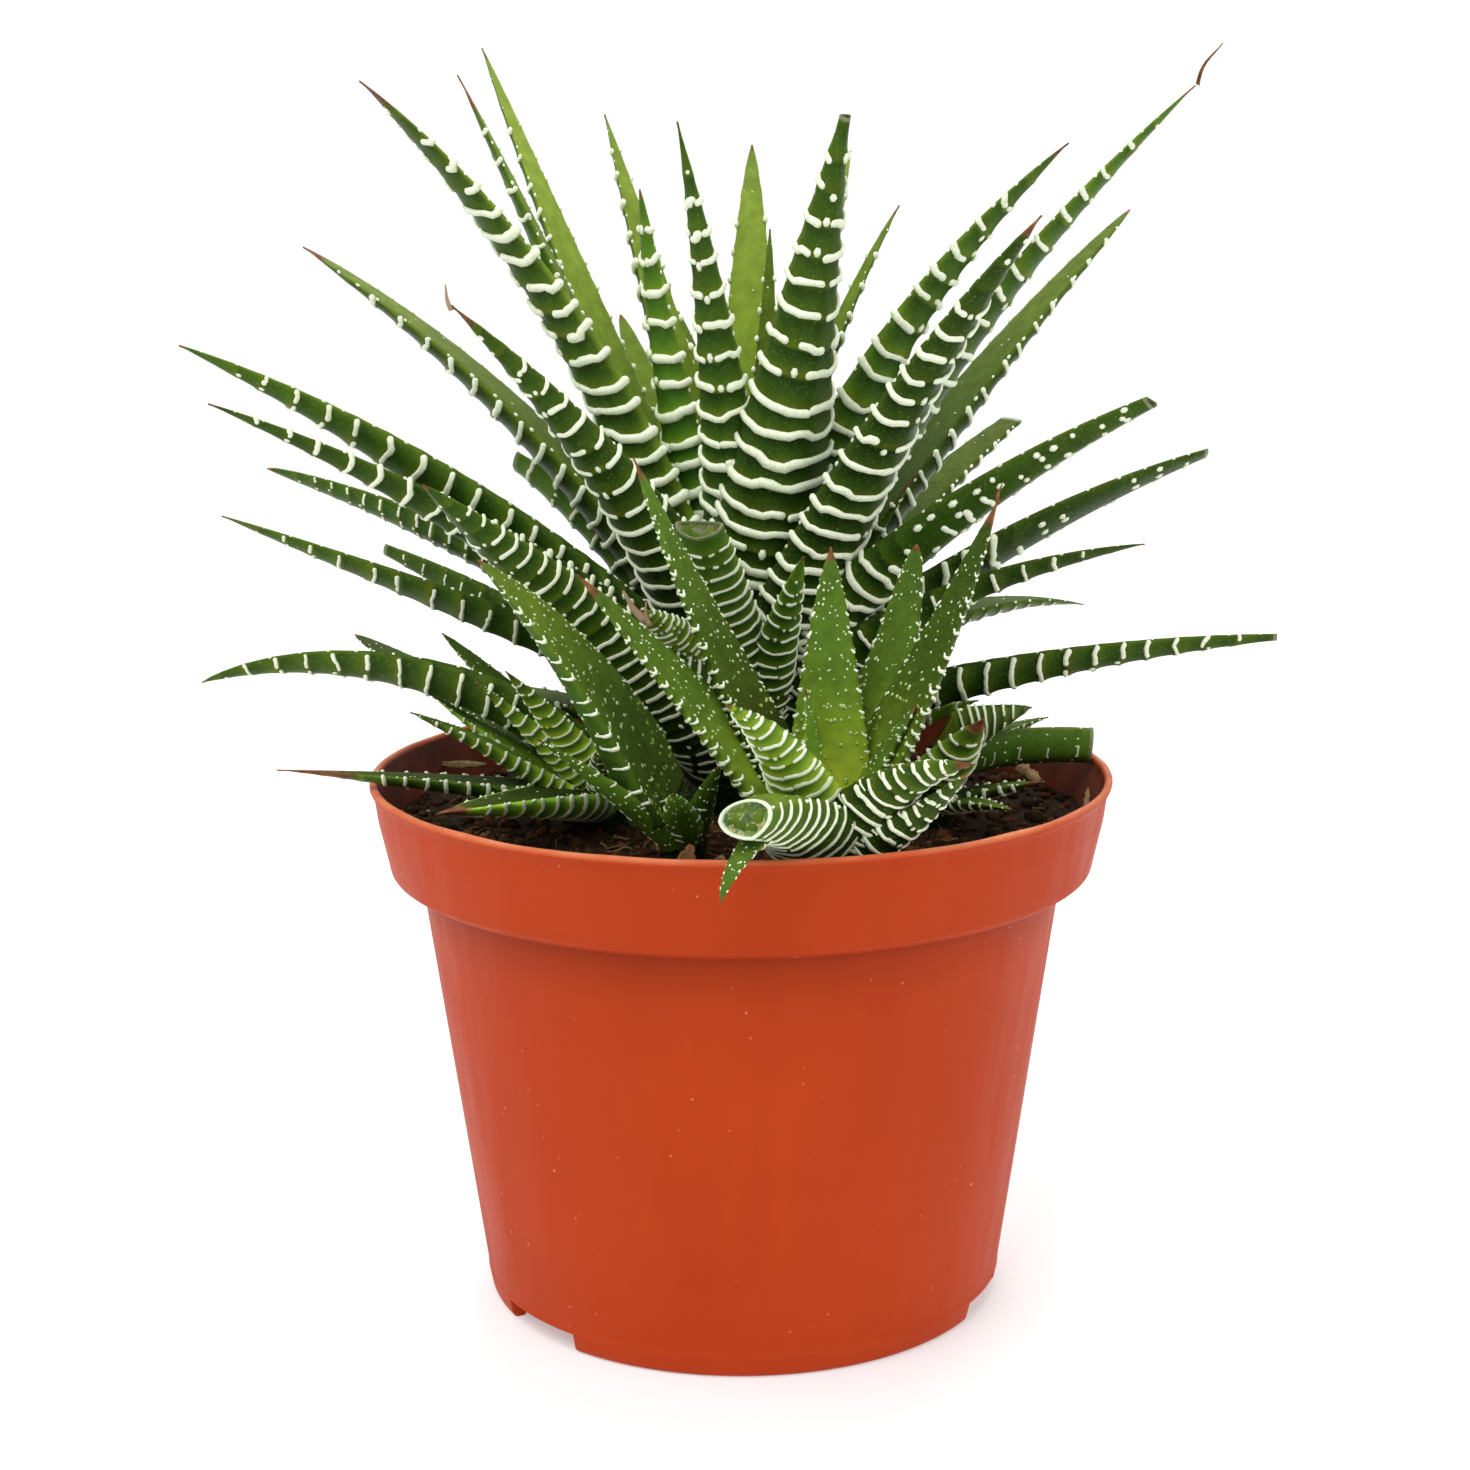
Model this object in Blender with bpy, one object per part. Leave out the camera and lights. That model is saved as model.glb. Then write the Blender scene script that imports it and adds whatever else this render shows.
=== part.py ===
"""Potted zebra haworthia with broad white bands, in a plastic nursery pot.

One large rosette and four offsets stand in a pot filled with peat. The pot,
the peat and each rosette are objects of their own. A leaf is a tapered body
along a cubic curve, flat on its inner face, round on its outer face and
stepped there by its raised bands. Tables and sizes are in millimetres; the
model is in metres. The origin is on the table, under the pot's centre, and
the front of the pot faces -Y.
"""
import math
from collections import namedtuple

import bmesh
import bpy
import numpy as np

MM = 0.001

# Driving sizes of the pot and of what fills it
RIM_RADIUS = 57.0
POT_HEIGHT = 82.5
BASE_RADIUS = 40.2
WALL_LOW_RADIUS = 40.7
WALL = 1.1
COLLAR_HEIGHT = 15.5
COLLAR_DROP_RADIUS = 54.6
WALL_TOP_RADIUS = 49.5
FOOT_HEIGHT = 3.3
FOOT_WIDTH = 2.2
NOTCH_HEIGHT = 2.9
NOTCH_ANGLES = (-50.5, 69.5, 189.5)
NOTCH_SPREAD = 23.0
DRAIN_HOLES = 6
DRAIN_RADIUS = 3.5
DRAIN_CIRCLE = 24.0
DRAIN_TURN = 17.0
POT_SIDES = 48
SOIL_TOP = 74.2
SOIL_BUMP = 0.8
SOIL_RINGS = (17.0, 29.0, 42.0)
GAP = 0.3

# Form of a leaf, as shares of its width or its length
LEAF_TAPER = 0.72
LEAF_DEPTH = 0.42
LEAF_LEAST_HALF = 0.45
LEAF_LEAST_DEPTH = 0.8
BAND_STEP = 0.55
BAND_RUN = 0.9
BAND_START = 0.2
BAND_END = 0.9
STEM_SIDES = 10

# A rosette: where its stem stands, how far down it goes, and the outline of
# the stem and heart as pairs of radius and height
Rosette = namedtuple("Rosette", "name stem outline leaves")

# A leaf: its tip, the height where it leaves the stem, how far it bows up
# from a straight line in degrees, its width, its bands, the share of its
# length that is cut off, how far it curves sideways, its turn about its
# own line in degrees, and how fast it tapers
Leaf = namedtuple("Leaf", "name tip root bow width bands cut sway turn taper")


def leaf(name, tip, root, bow, width, bands, cut=0.0, sway=0.0, turn=0.0, taper=LEAF_TAPER):
    return Leaf(name, tip, root, bow, width, bands, cut, sway, turn, taper)


MAIN_LEAVES = (
    leaf("heart_1", (2.4, 34, 177), 105.2, -4, 14.6, 6, taper=0.67),
    leaf("heart_2", (18.2, 34, 176), 104.8, 3, 10.2, 6),
    leaf("heart_3", (5, 18, 164), 108, 6, 7, 6, sway=1.5),
    leaf("heart_4", (14.6, -26, 179.6), 100, 4, 23.6, 9, cut=0.06, sway=0.3, taper=1.0),
    leaf("heart_5", (-8.3, -26, 179.3), 101, 6, 13.1, 9, sway=-1.4, taper=0.93),
    leaf("heart_6", (-14.3, -4, 170.2), 102.5, -2, 12.6, 7, sway=1.9, taper=0.62),
    leaf("heart_7", (-20.8, 28, 181.7), 102, 4, 13.8, 7, taper=0.82),
    leaf("heart_8", (25.1, 20, 167.5), 106.2, 12, 7.6, 7, taper=0.62),
    leaf("left_1", (-40, 30, 192), 99, 0, 14, 8),
    leaf("left_2", (-41.8, 9, 187.1), 94.6, 4, 13.2, 8, sway=-1, taper=0.62),
    leaf("left_3", (-53.5, -13, 185.5), 91.5, 21, 19.4, 9, sway=3, taper=0.54),
    leaf("left_4", (-65.5, 6, 162), 97.1, 14, 16.7, 8, sway=-0.4, turn=6, taper=0.53),
    leaf("left_5", (-38.3, -42, 155.3), 92.7, 8, 17, 8, sway=-4.5, turn=-18, taper=0.88),
    leaf("left_6", (-80.3, -16, 148.7), 88.5, 13, 17.5, 9, sway=-0.4, turn=-25),
    leaf("left_7", (-74.9, -24, 141), 91.4, 10, 14, 8, sway=0.4, turn=-20),
    leaf("left_8", (-78.4, 40, 125), 89, 10.6, 11.4, 8, sway=2.2, turn=-50, taper=0.52),
    leaf("left_9", (-80.8, 12, 120.6), 92.3, 2, 15.1, 8, sway=-0.7, turn=-20, taper=0.68),
    leaf("left_10", (-57.2, 30, 112.5), 82, 7.7, 14, 6, cut=0.1, sway=-0.3, turn=-50, taper=0.69),
    leaf("right_1", (66.1, -6, 184.5), 97.6, 13, 16.8, 9),
    leaf("right_2", (47.2, -12, 176.4), 102.7, 19, 18.7, 9, sway=1.6, taper=0.69),
    leaf("right_3", (40.3, -40, 166.6), 92.7, 10, 18, 9, sway=0.8),
    leaf("right_4", (63.4, 36, 166.5), 94.8, 7, 15.4, 8, taper=0.52),
    leaf("right_5", (56.7, -30, 141), 94.1, 11, 13.9, 8, cut=0.12, sway=1.9, turn=20, taper=0.67),
    leaf("right_6", (47.1, 60, 130.5), 89.5, 6, 14.1, 6, cut=0.15, sway=-3.4, taper=0.62),
    leaf("right_7", (71.8, 12, 129.5), 91.4, 14, 16.4, 8, cut=0.08, sway=4, turn=20, taper=0.52),
    leaf("right_8", (59.7, -12, 118.7), 90.8, 18.4, 14.5, 7, sway=4, turn=15, taper=0.65),
    leaf("right_9", (59.8, 54, 99.1), 87.2, 24.8, 14.5, 6, sway=0.4, taper=0.55),
    leaf("right_10", (82, 2, 102.4), 87, 8, 13.4, 8, cut=0.08, sway=-0.8, turn=30, taper=0.82),
    leaf("right_11", (26.4, -6, 128.8), 90, 2, 8, 4),
    leaf("low_1", (-43.5, -36, 130.7), 85, 1, 21.5, 8, sway=-1.7, turn=-20, taper=0.7),
    leaf("low_2", (-5.7, -24, 123.4), 86, 8, 16, 6, cut=0.3),
    leaf("low_3", (9.1, -22, 118.5), 86, 3, 11, 5),
    leaf("low_4", (-14.6, -27, 111.6), 92, 8, 11, 6, turn=-40, taper=0.6),
    leaf("back_1", (-20.4, 66, 148.7), 93.1, 4, 13.2, 6, taper=0.57),
    leaf("back_2", (-34.3, 15, 128.3), 90, 19.5, 13, 6, cut=0.12, sway=-4, turn=-50, taper=0.52),
    leaf("back_3", (7, 66, 130), 90, 8, 13, 6),
    leaf("back_4", (25, 61, 133), 90, 8, 13, 6),
    leaf("back_5", (-10, 50, 150), 96, 6, 13, 6, sway=1.5),
    leaf("back_6", (12, 54, 150), 96, 6, 13, 6),
    leaf("back_7", (-44, 50, 97), 84, 14, 12, 5),
    leaf("back_8", (-14, 62, 102), 84, 16, 13, 5),
    leaf("back_9", (17, 60, 98), 84, 16, 13, 5),
    leaf("back_10", (40, 56, 101), 84, 14, 12, 5),
    leaf("back_11", (-29, 47, 91), 80.5, 20, 13, 4),
    leaf("back_12", (31, 44, 90), 80.5, 20, 13, 4),
    leaf("back_13", (3, 53, 90), 80.5, 22, 14, 4),
    leaf("back_14", (38, 14, 90.2), 83.5, 3, 17, 5, turn=20, taper=0.6),
    leaf("back_15", (-50.4, 27, 91), 81.4, 15, 11, 4, sway=-1.5, taper=0.52),
)
FRONT_LEAVES = (
    leaf("front_1", (-14.5, -36, 134.2), 84, -3, 12, 4, turn=20),
    leaf("front_2", (-22.1, -44, 119.3), 83, 3, 13, 4, turn=30),
    leaf("front_3", (12.6, -34, 121.5), 86, 2, 13, 5),
    leaf("front_4", (35.5, -36, 128.1), 84, -4, 12, 4, turn=-20),
    leaf("front_5", (25.1, -26, 120.7), 85, -2, 12, 4, sway=1.5, taper=0.52),
    leaf("front_6", (24.2, -42, 100.6), 83, 8, 8, 3, turn=-15),
    leaf("front_7", (9, -40, 102.5), 86, 2, 6, 3),
    leaf("front_8", (30.8, -58, 95.8), 81, 32, 14, 5, turn=25),
    leaf("front_9", (30.4, -52, 93.3), 80, -8, 11, 4, turn=20),
    leaf("front_10", (-2, -62, 104.8), 83, 22, 12, 5, turn=-15),
    leaf("front_11", (0.5, -62, 90.2), 82, 20, 15.4, 4, cut=0.4, turn=-20),
    leaf("front_12", (-2.9, -66, 79), 83, 62, 7.5, 3),
)
LEFT_LEAVES = (
    leaf("near_left_1", (-35.2, -46, 121.6), 84, 12, 18, 5, turn=45),
    leaf("near_left_2", (-27.8, -46, 97.1), 80, 4, 8, 4),
    leaf("near_left_3", (-21, -38, 100.1), 81, 4, 7, 3),
    leaf("near_left_4", (-9.4, -47, 89.5), 80, 10, 7, 3),
    leaf("near_left_5", (-3, -40, 92), 80, 6, 6, 3),
)
FAR_LEFT_LEAVES = (
    leaf("far_left_1", (-49.3, -12, 94), 79.5, 6, 10.3, 5, taper=0.62),
    leaf("far_left_2", (-34, -22, 102), 83.5, 4, 10, 4),
    leaf("far_left_3", (-39.1, -15, 99.2), 83, 2, 10.6, 4),
    leaf("far_left_4", (-47.1, -3, 95), 80.1, -2, 9.1, 4, sway=-0.8, taper=0.62),
    leaf("far_left_5", (-20.8, -26, 90.8), 80, 8, 7, 3),
    leaf("far_left_6", (-68.9, -16, 86.2), 80.5, 2, 9, 6, taper=0.92),
    leaf("far_left_7", (-43.7, -29, 82.5), 81.5, 4, 13, 6),
    leaf("far_left_8", (-47.2, 14, 101.5), 81.8, 4, 9.2, 5, sway=-0.4, taper=0.62),
    leaf("far_left_9", (-64.1, 35, 97.8), 82.9, 1, 12.5, 5, taper=0.52),
    leaf("far_left_10", (-82.1, -3, 97), 86, 32, 13, 8, turn=-35, taper=0.65),
)
RIGHT_LEAVES = (
    leaf("near_right_1", (45.1, 2, 91.4), 89, 0, 12.4, 4, sway=-0.8, turn=45),
    leaf("near_right_2", (48.4, 8, 88.6), 84.5, 6, 8, 4, sway=-1.5),
    leaf("near_right_3", (36, -16, 93.4), 84, 6, 12, 4),
    leaf("near_right_4", (45.8, -11, 82.6), 79, 6, 7, 5),
    leaf("near_right_5", (54.4, 7, 84.5), 84, 5.3, 8, 5, cut=0.8, sway=-4, turn=55),
    leaf("near_right_6", (39.8, -22, 80.9), 79, 6, 6.2, 3),
)
ROSETTES = (
    Rosette("main_rosette", (1, 7), ((7, 65), (7, 77), (10, 80), (9, 90), (7, 102), (0, 112)), MAIN_LEAVES),
    Rosette("offset_front", (12, -42), ((4, 70), (4, 78), (4.5, 82), (0, 90)), FRONT_LEAVES),
    Rosette("offset_left", (-8, -30), ((3, 67), (3, 78), (3.5, 81), (0, 87)), LEFT_LEAVES),
    Rosette("offset_far_left", (-20, -6), ((3, 67), (3, 78), (3.5, 81), (0, 87)), FAR_LEFT_LEAVES),
    Rosette("offset_right", (29, -5), ((3, 67), (3, 78), (3.5, 81), (0, 87)), RIGHT_LEAVES),
)


def unit(vector):
    return vector / np.linalg.norm(vector)


def leaf_frame(row, stem, shares):
    """Points of the leaf's middle line, its directions, and its side."""
    tip = np.array(row.tip, float)
    out = unit(np.array([tip[0] - stem[0], tip[1] - stem[1], 0.0]))
    root = np.array([stem[0], stem[1], row.root]) + 1.5 * out
    reach = tip - root
    along = unit(reach)
    side = unit(np.cross(along, (0.0, 0.0, 1.0)))
    rise = np.cross(side, along)
    third = np.linalg.norm(reach) / 3
    bow = math.radians(row.bow)
    swing = side * row.sway
    first = root + third * (along * math.cos(bow) + rise * math.sin(bow)) + swing
    second = tip - third * (along * math.cos(bow) - rise * math.sin(bow)) + swing
    s = np.array(shares)[:, None]
    points = (1 - s) ** 3 * root + 3 * (1 - s) ** 2 * s * first + 3 * (1 - s) * s**2 * second + s**3 * tip
    ways = (1 - s) ** 2 * (first - root) + 2 * (1 - s) * s * (second - first) + s**2 * (tip - second)
    return points, ways / np.linalg.norm(ways, axis=1)[:, None], side


def leaf_size(row, share):
    """Half the width and the depth of a leaf at a share of its length."""
    left = 1 - share * (1 - row.cut)
    base = min(1.0, 0.72 + 1.6 * share)
    half = max(row.width / 2 * left**row.taper * base, LEAF_LEAST_HALF)
    depth = max(row.width * LEAF_DEPTH * left**0.8, LEAF_LEAST_DEPTH)
    return half, depth


def leaf_steps(row, length):
    """Shares of the length where a ring lies, and how far it stands out."""
    steps = [(0.0, 0.0)]
    run = BAND_RUN / length
    for band in range(row.bands):
        share = BAND_START + (BAND_END - BAND_START) * band / (row.bands - 1)
        steps += [(share, BAND_STEP), (share + run, 0.0)]
    return steps + [(1.0, 0.0)]


def leaf_rings(row, stem):
    """Rings of five points each: the two edges and three on the outer face."""
    length = np.linalg.norm(np.array(row.tip) - (stem[0], stem[1], row.root))
    steps = leaf_steps(row, length)
    points, ways, side = leaf_frame(row, stem, [share for share, raised in steps])
    turn = math.radians(row.turn)
    rings = []
    for (share, raised), point, way in zip(steps, points, ways):
        across = unit(side - way * side.dot(way))
        inner = np.cross(across, way)
        across, inner = (
            across * math.cos(turn) + inner * math.sin(turn),
            inner * math.cos(turn) - across * math.sin(turn),
        )
        half, depth = leaf_size(row, share)
        lift = raised * min(1.0, depth / 3)
        outline = ((-half, 0), (half, 0), (0.64 * half, -0.72 * depth - lift), (0, -depth - lift),
                   (-0.64 * half, -0.72 * depth - lift))
        rings.append([point + across * a + inner * b for a, b in outline])
    return np.array(rings)


def clear_scene():
    for item in list(bpy.data.objects):
        bpy.data.objects.remove(item, do_unlink=True)


def material(name, colour, roughness):
    made = bpy.data.materials.new(name)
    made.use_nodes = True
    shader = made.node_tree.nodes["Principled BSDF"]
    shader.inputs["Base Color"].default_value = (*colour, 1.0)
    shader.inputs["Roughness"].default_value = roughness
    shader.inputs["Metallic"].default_value = 0.0
    return made


def make_object(name, points, faces, surface=None):
    """An object from points in millimetres, with its faces turned outward."""
    mesh = bpy.data.meshes.new(name)
    mesh.from_pydata([tuple(float(v) * MM for v in point) for point in points], [], faces)
    form = bmesh.new()
    form.from_mesh(mesh)
    bmesh.ops.recalc_face_normals(form, faces=form.faces)
    form.to_mesh(mesh)
    form.free()
    made = bpy.data.objects.new(name, mesh)
    bpy.context.scene.collection.objects.link(made)
    if surface:
        mesh.materials.append(surface)
    return made


def tube_faces(rings, sides):
    """Faces of a body through rings of points, closed by a face at each end."""
    faces = [tuple(reversed(range(sides)))]
    for ring in range(rings - 1):
        for side in range(sides):
            here = ring * sides + side
            beside = ring * sides + (side + 1) % sides
            faces.append((here, beside, beside + sides, here + sides))
    return faces + [tuple(range((rings - 1) * sides, rings * sides))]


def turned(name, outline, sides, centre=(0.0, 0.0), surface=None):
    """A body turned about an upright line from pairs of radius and height.

    A pair with no radius is a point on the line.
    """
    points = []
    rows = []
    for radius, height in outline:
        count = sides if radius > 0 else 1
        rows.append(list(range(len(points), len(points) + count)))
        for step in range(count):
            angle = 2 * math.pi * step / sides
            points.append((centre[0] + radius * math.sin(angle), centre[1] - radius * math.cos(angle), height))
    faces = []
    for low, high in zip(rows, rows[1:]):
        for step in range(sides):
            after = (step + 1) % sides
            corners = [low[step % len(low)], low[after % len(low)], high[after % len(high)], high[step % len(high)]]
            faces.append(tuple(dict.fromkeys(corners)))
    for row, turned_over in ((rows[0], True), (rows[-1], False)):
        if len(row) > 1:
            faces.append(tuple(reversed(row)) if turned_over else tuple(row))
    return make_object(name, points, faces, surface)


def cut_away(body, cutter):
    """Take a cutter away from a body for good, and drop the cutter."""
    cutter.hide_render = True
    cutter.display_type = "WIRE"
    join(body, "DIFFERENCE", cutter=cutter)


def join(body, operation, cutter=None, others=None):
    """Run one Boolean on a body, apply it, and remove what it used."""
    step = body.modifiers.new("shape", "BOOLEAN")
    step.operation = operation
    step.solver = "EXACT"
    if others:
        step.operand_type = "COLLECTION"
        step.collection = others
        step.use_self = True
    else:
        step.object = cutter
    bpy.context.view_layer.update()
    seen = body.evaluated_get(bpy.context.evaluated_depsgraph_get())
    shaped = bpy.data.meshes.new_from_object(seen)
    body.modifiers.clear()
    body.data = shaped
    for used in list(others.objects) if others else [cutter]:
        bpy.data.objects.remove(used, do_unlink=True)
    if others:
        bpy.data.collections.remove(others)


def keep_outer_shell(body):
    """Keep the largest shell: hollows sealed among leaves fill, scraps go."""
    form = bmesh.new()
    form.from_mesh(body.data)
    form.verts.ensure_lookup_table()
    shells = []
    waiting = set(form.verts)
    while waiting:
        shell = {waiting.pop()}
        edge_of_shell = list(shell)
        while edge_of_shell:
            corner = edge_of_shell.pop()
            near = {edge.other_vert(corner) for edge in corner.link_edges} - shell
            shell |= near
            edge_of_shell.extend(near)
        waiting -= shell
        shells.append(shell)
    largest = max(shells, key=len)
    spare = [corner for shell in shells if shell is not largest for corner in shell]
    bmesh.ops.delete(form, geom=spare, context="VERTS")
    form.to_mesh(body.data)
    form.free()


def shade(body, sharp_degrees):
    body.data.shade_smooth()
    body.data.set_sharp_from_angle(angle=math.radians(sharp_degrees))


def pot_outline():
    """The pot's wall as one closed outline: up the outside, down the inside."""
    collar_low = POT_HEIGHT - COLLAR_HEIGHT
    floor_top = FOOT_HEIGHT + WALL
    return (
        (0, FOOT_HEIGHT),
        (BASE_RADIUS - FOOT_WIDTH, FOOT_HEIGHT),
        (BASE_RADIUS - FOOT_WIDTH, 0),
        (BASE_RADIUS, 0),
        (WALL_LOW_RADIUS + 0.1, FOOT_HEIGHT),
        (WALL_LOW_RADIUS, FOOT_HEIGHT + 0.4),
        (WALL_TOP_RADIUS, collar_low),
        (COLLAR_DROP_RADIUS - 2.4, collar_low + 0.5),
        (COLLAR_DROP_RADIUS - 0.5, collar_low + 1.7),
        (COLLAR_DROP_RADIUS, collar_low + 4),
        (RIM_RADIUS - 0.1, POT_HEIGHT - 1.1),
        (RIM_RADIUS, POT_HEIGHT - 0.8),
        (RIM_RADIUS - 0.4, POT_HEIGHT),
        (RIM_RADIUS - WALL, POT_HEIGHT - 0.1),
        (COLLAR_DROP_RADIUS - WALL, collar_low + 4),
        (COLLAR_DROP_RADIUS - 2.4 - WALL / 2, collar_low + 0.5 + WALL),
        (WALL_TOP_RADIUS - WALL, collar_low + WALL),
        (WALL_LOW_RADIUS - WALL, floor_top),
        (0, floor_top),
    )


def make_pot(plastic):
    pot = turned("pot", pot_outline(), POT_SIDES, surface=plastic)
    for angle in NOTCH_ANGLES:
        cut_away(pot, foot_notch(math.radians(angle)))
    for hole in range(DRAIN_HOLES):
        angle = math.radians(DRAIN_TURN + 360 * hole / DRAIN_HOLES)
        centre = (DRAIN_CIRCLE * math.sin(angle), -DRAIN_CIRCLE * math.cos(angle))
        outline = ((DRAIN_RADIUS, FOOT_HEIGHT - 1), (DRAIN_RADIUS, FOOT_HEIGHT + WALL + 1))
        cut_away(pot, turned("drain_hole", outline, 12, centre))
    shade(pot, 40)


def foot_notch(angle):
    """A block across the foot ring, as wide as the notch there."""
    half_width = BASE_RADIUS * math.sin(math.radians(NOTCH_SPREAD / 2))
    out = np.array((math.sin(angle), -math.cos(angle), 0.0))
    across = np.array((math.cos(angle), math.sin(angle), 0.0))
    points = []
    for height in (-1.0, NOTCH_HEIGHT):
        for reach, width in ((34, -1), (44, -1), (44, 1), (34, 1)):
            points.append(out * reach + across * width * half_width + (0, 0, height))
    return make_object("foot_notch", points, tube_faces(2, 4))


def soil_height(x, y):
    """The peat's surface, with a few low bumps."""
    waves = math.sin(0.21 * x + 0.7) * math.cos(0.17 * y - 0.4) + 0.6 * math.sin(0.33 * y + 0.11 * x)
    return SOIL_TOP + SOIL_BUMP * waves / 1.6


def make_soil(peat):
    floor_top = FOOT_HEIGHT + WALL + GAP
    collar_low = POT_HEIGHT - COLLAR_HEIGHT
    inset = WALL + GAP
    outline = (
        (0, floor_top),
        (WALL_LOW_RADIUS - inset, floor_top),
        (WALL_TOP_RADIUS - inset - 0.1, collar_low + WALL + GAP),
        (COLLAR_DROP_RADIUS - 2.4 - WALL / 2 - GAP - 0.2, collar_low + 0.6 + WALL + GAP),
        (COLLAR_DROP_RADIUS - inset, collar_low + 4.2),
        (COLLAR_DROP_RADIUS - inset + 0.4, SOIL_TOP),
        *((radius, SOIL_TOP) for radius in reversed(SOIL_RINGS)),
        (0, SOIL_TOP),
    )
    soil = turned("soil", outline, POT_SIDES // 2, surface=peat)
    for corner in soil.data.vertices:
        if corner.co.z > (SOIL_TOP - 0.01) * MM:
            corner.co.z = soil_height(corner.co.x / MM, corner.co.y / MM) * MM
    for rosette in ROSETTES:
        radius, low = rosette.outline[0]
        hole = ((radius + GAP, low - GAP), (radius + GAP, SOIL_TOP + 5))
        cut_away(soil, turned("stem_hole", hole, STEM_SIDES, rosette.stem))
    shade(soil, 30)


def make_rosette(rosette, surface):
    """The stem and its leaves, joined in one body."""
    body = turned(rosette.name, rosette.outline, STEM_SIDES, rosette.stem, surface)
    leaves = bpy.data.collections.new(rosette.name + "_leaves")
    bpy.context.scene.collection.children.link(leaves)
    for row in rosette.leaves:
        rings = leaf_rings(row, rosette.stem)
        blade = make_object(row.name, rings.reshape(-1, 3), tube_faces(*rings.shape[:2]), surface)
        bpy.context.scene.collection.objects.unlink(blade)
        leaves.objects.link(blade)
    join(body, "UNION", others=leaves)
    keep_outer_shell(body)
    shade(body, 35)


def main():
    clear_scene()
    make_pot(material("pot_plastic", (0.58, 0.10, 0.03), 0.42))
    make_soil(material("peat", (0.035, 0.022, 0.014), 0.95))
    dark_leaf = material("dark_leaf", (0.05, 0.16, 0.03), 0.38)
    bright_leaf = material("bright_leaf", (0.14, 0.30, 0.05), 0.38)
    for rosette in ROSETTES:
        make_rosette(rosette, dark_leaf if rosette.name == "main_rosette" else bright_leaf)


main()
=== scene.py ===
"""Looks of the potted zebra haworthia: leaves with raised white bands, peat and pot.

Sizes are in millimetres and meshes are made in metres. A leaf's surface is
worked out from its row, and its bands, dots and teeth sit on that surface.
"""
import math
from collections import namedtuple

import bmesh
import bpy
import numpy as np
from mathutils import Matrix, Vector, noise


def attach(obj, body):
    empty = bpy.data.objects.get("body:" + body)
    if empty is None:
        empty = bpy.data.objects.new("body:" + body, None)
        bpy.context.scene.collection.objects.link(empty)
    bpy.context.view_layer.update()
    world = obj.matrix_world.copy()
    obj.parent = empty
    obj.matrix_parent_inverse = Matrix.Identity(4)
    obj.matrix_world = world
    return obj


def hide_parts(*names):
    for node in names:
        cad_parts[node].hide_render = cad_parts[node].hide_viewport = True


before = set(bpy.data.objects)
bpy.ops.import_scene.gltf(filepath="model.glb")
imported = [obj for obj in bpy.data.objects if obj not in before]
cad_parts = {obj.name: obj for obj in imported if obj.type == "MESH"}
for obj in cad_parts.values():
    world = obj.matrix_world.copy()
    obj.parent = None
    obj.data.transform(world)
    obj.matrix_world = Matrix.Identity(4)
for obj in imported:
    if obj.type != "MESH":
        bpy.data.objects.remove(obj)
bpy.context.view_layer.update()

MM = 0.001

# The camera of the photograph, and the size of its image in pixels
IMAGE_SIZE = 1470
FOCAL_PIXELS = 2600.0
CAMERA_AT = (-0.85, -392.6, 170.9)
CAMERA_PITCH = 11.97
CAMERA_ROLL = 0.32

# Sizes of the pot and of what fills it
RIM_RADIUS = 57.0
POT_HEIGHT = 82.5
BASE_RADIUS = 40.2
WALL_LOW_RADIUS = 40.7
WALL = 1.1
COLLAR_HEIGHT = 15.5
COLLAR_DROP_RADIUS = 54.6
WALL_TOP_RADIUS = 49.5
FOOT_HEIGHT = 3.3
FOOT_WIDTH = 2.2
NOTCH_HEIGHT = 2.9
NOTCH_ANGLES = (-50.5, 69.5, 189.5)
NOTCH_SPREAD = 23.0
DRAIN_HOLES = 6
DRAIN_RADIUS = 3.5
DRAIN_CIRCLE = 24.0
DRAIN_TURN = 17.0
POT_SIDES = 216
SHARP_ANGLE = 38
# The darkening on the collar's inner face, soil stain and painted shade, in metres: between these heights,
# and within a radius that grows with the height by the first number from the second
STAIN_AND_SHADE_HEIGHTS = (0.0722, 0.0818)
STAIN_AND_SHADE_RADIUS = (0.135, 0.0449)
SOIL_TOP = 74.2
SOIL_BUMP = 0.8
SOIL_RADIUS = 54.3
CRUMBS = 2600
CRUMB_FLATNESS = 0.7
FIBRES = 170

# Form of a leaf: the power by which it narrows, and its depth as a share of its width
LEAF_TAPER = 0.72
LEAF_DEPTH = 0.42
# At a tip, in millimetres: half its width, its depth, and how far it is dry where DRY_TIPS doesn't say
TIP_HALF = 0.14
TIP_DEPTH = 0.2
TIP_WITHERED = 1.2
# Points across the outer and the inner face, and rings of points from one band to the next
OUTER_POINTS = 12
INNER_POINTS = 6
PHASES = (0.0, 0.14, 0.32, 0.52, 0.72, 0.87)
# Where a leaf's first band lies, and its last on a whole leaf and on a cut one
FIRST_BAND, LAST_BAND, LAST_BAND_CUT = 0.06, 0.955, 0.97
# How high in millimetres the skin swells under a band, and the sizes and rates of a band's waves
BAND_SWELL = 0.3
WAVE_SIZES = np.array([0.3, 0.2, 0.12])
WAVE_RATES = np.array([2.3, 4.6, 8.5])
# Leaves with teeth bigger than this have crescents round their edges; gaps between teeth
WRAPPED_TOOTH = 0.3
TOOTH_GAP, CRESCENT_GAP = 4.2, 2.9
# No band crosses a leaf that is narrower than twice this
LEAST_BAND_HALF = 0.35
# Rings of a cut face, from its skin inwards: share of its width, rise, and how deep in the flesh
CUT_RINGS = ((1.0, 0.0, 0.0), (1.03, 0.35, 0.0), (0.98, 0.6, 0.0), (0.9, 0.5, 0.05), (0.83, 0.1, 1.0),
             (0.5, -0.1, 1.0), (0.15, 0.1, 1.0))

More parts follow.
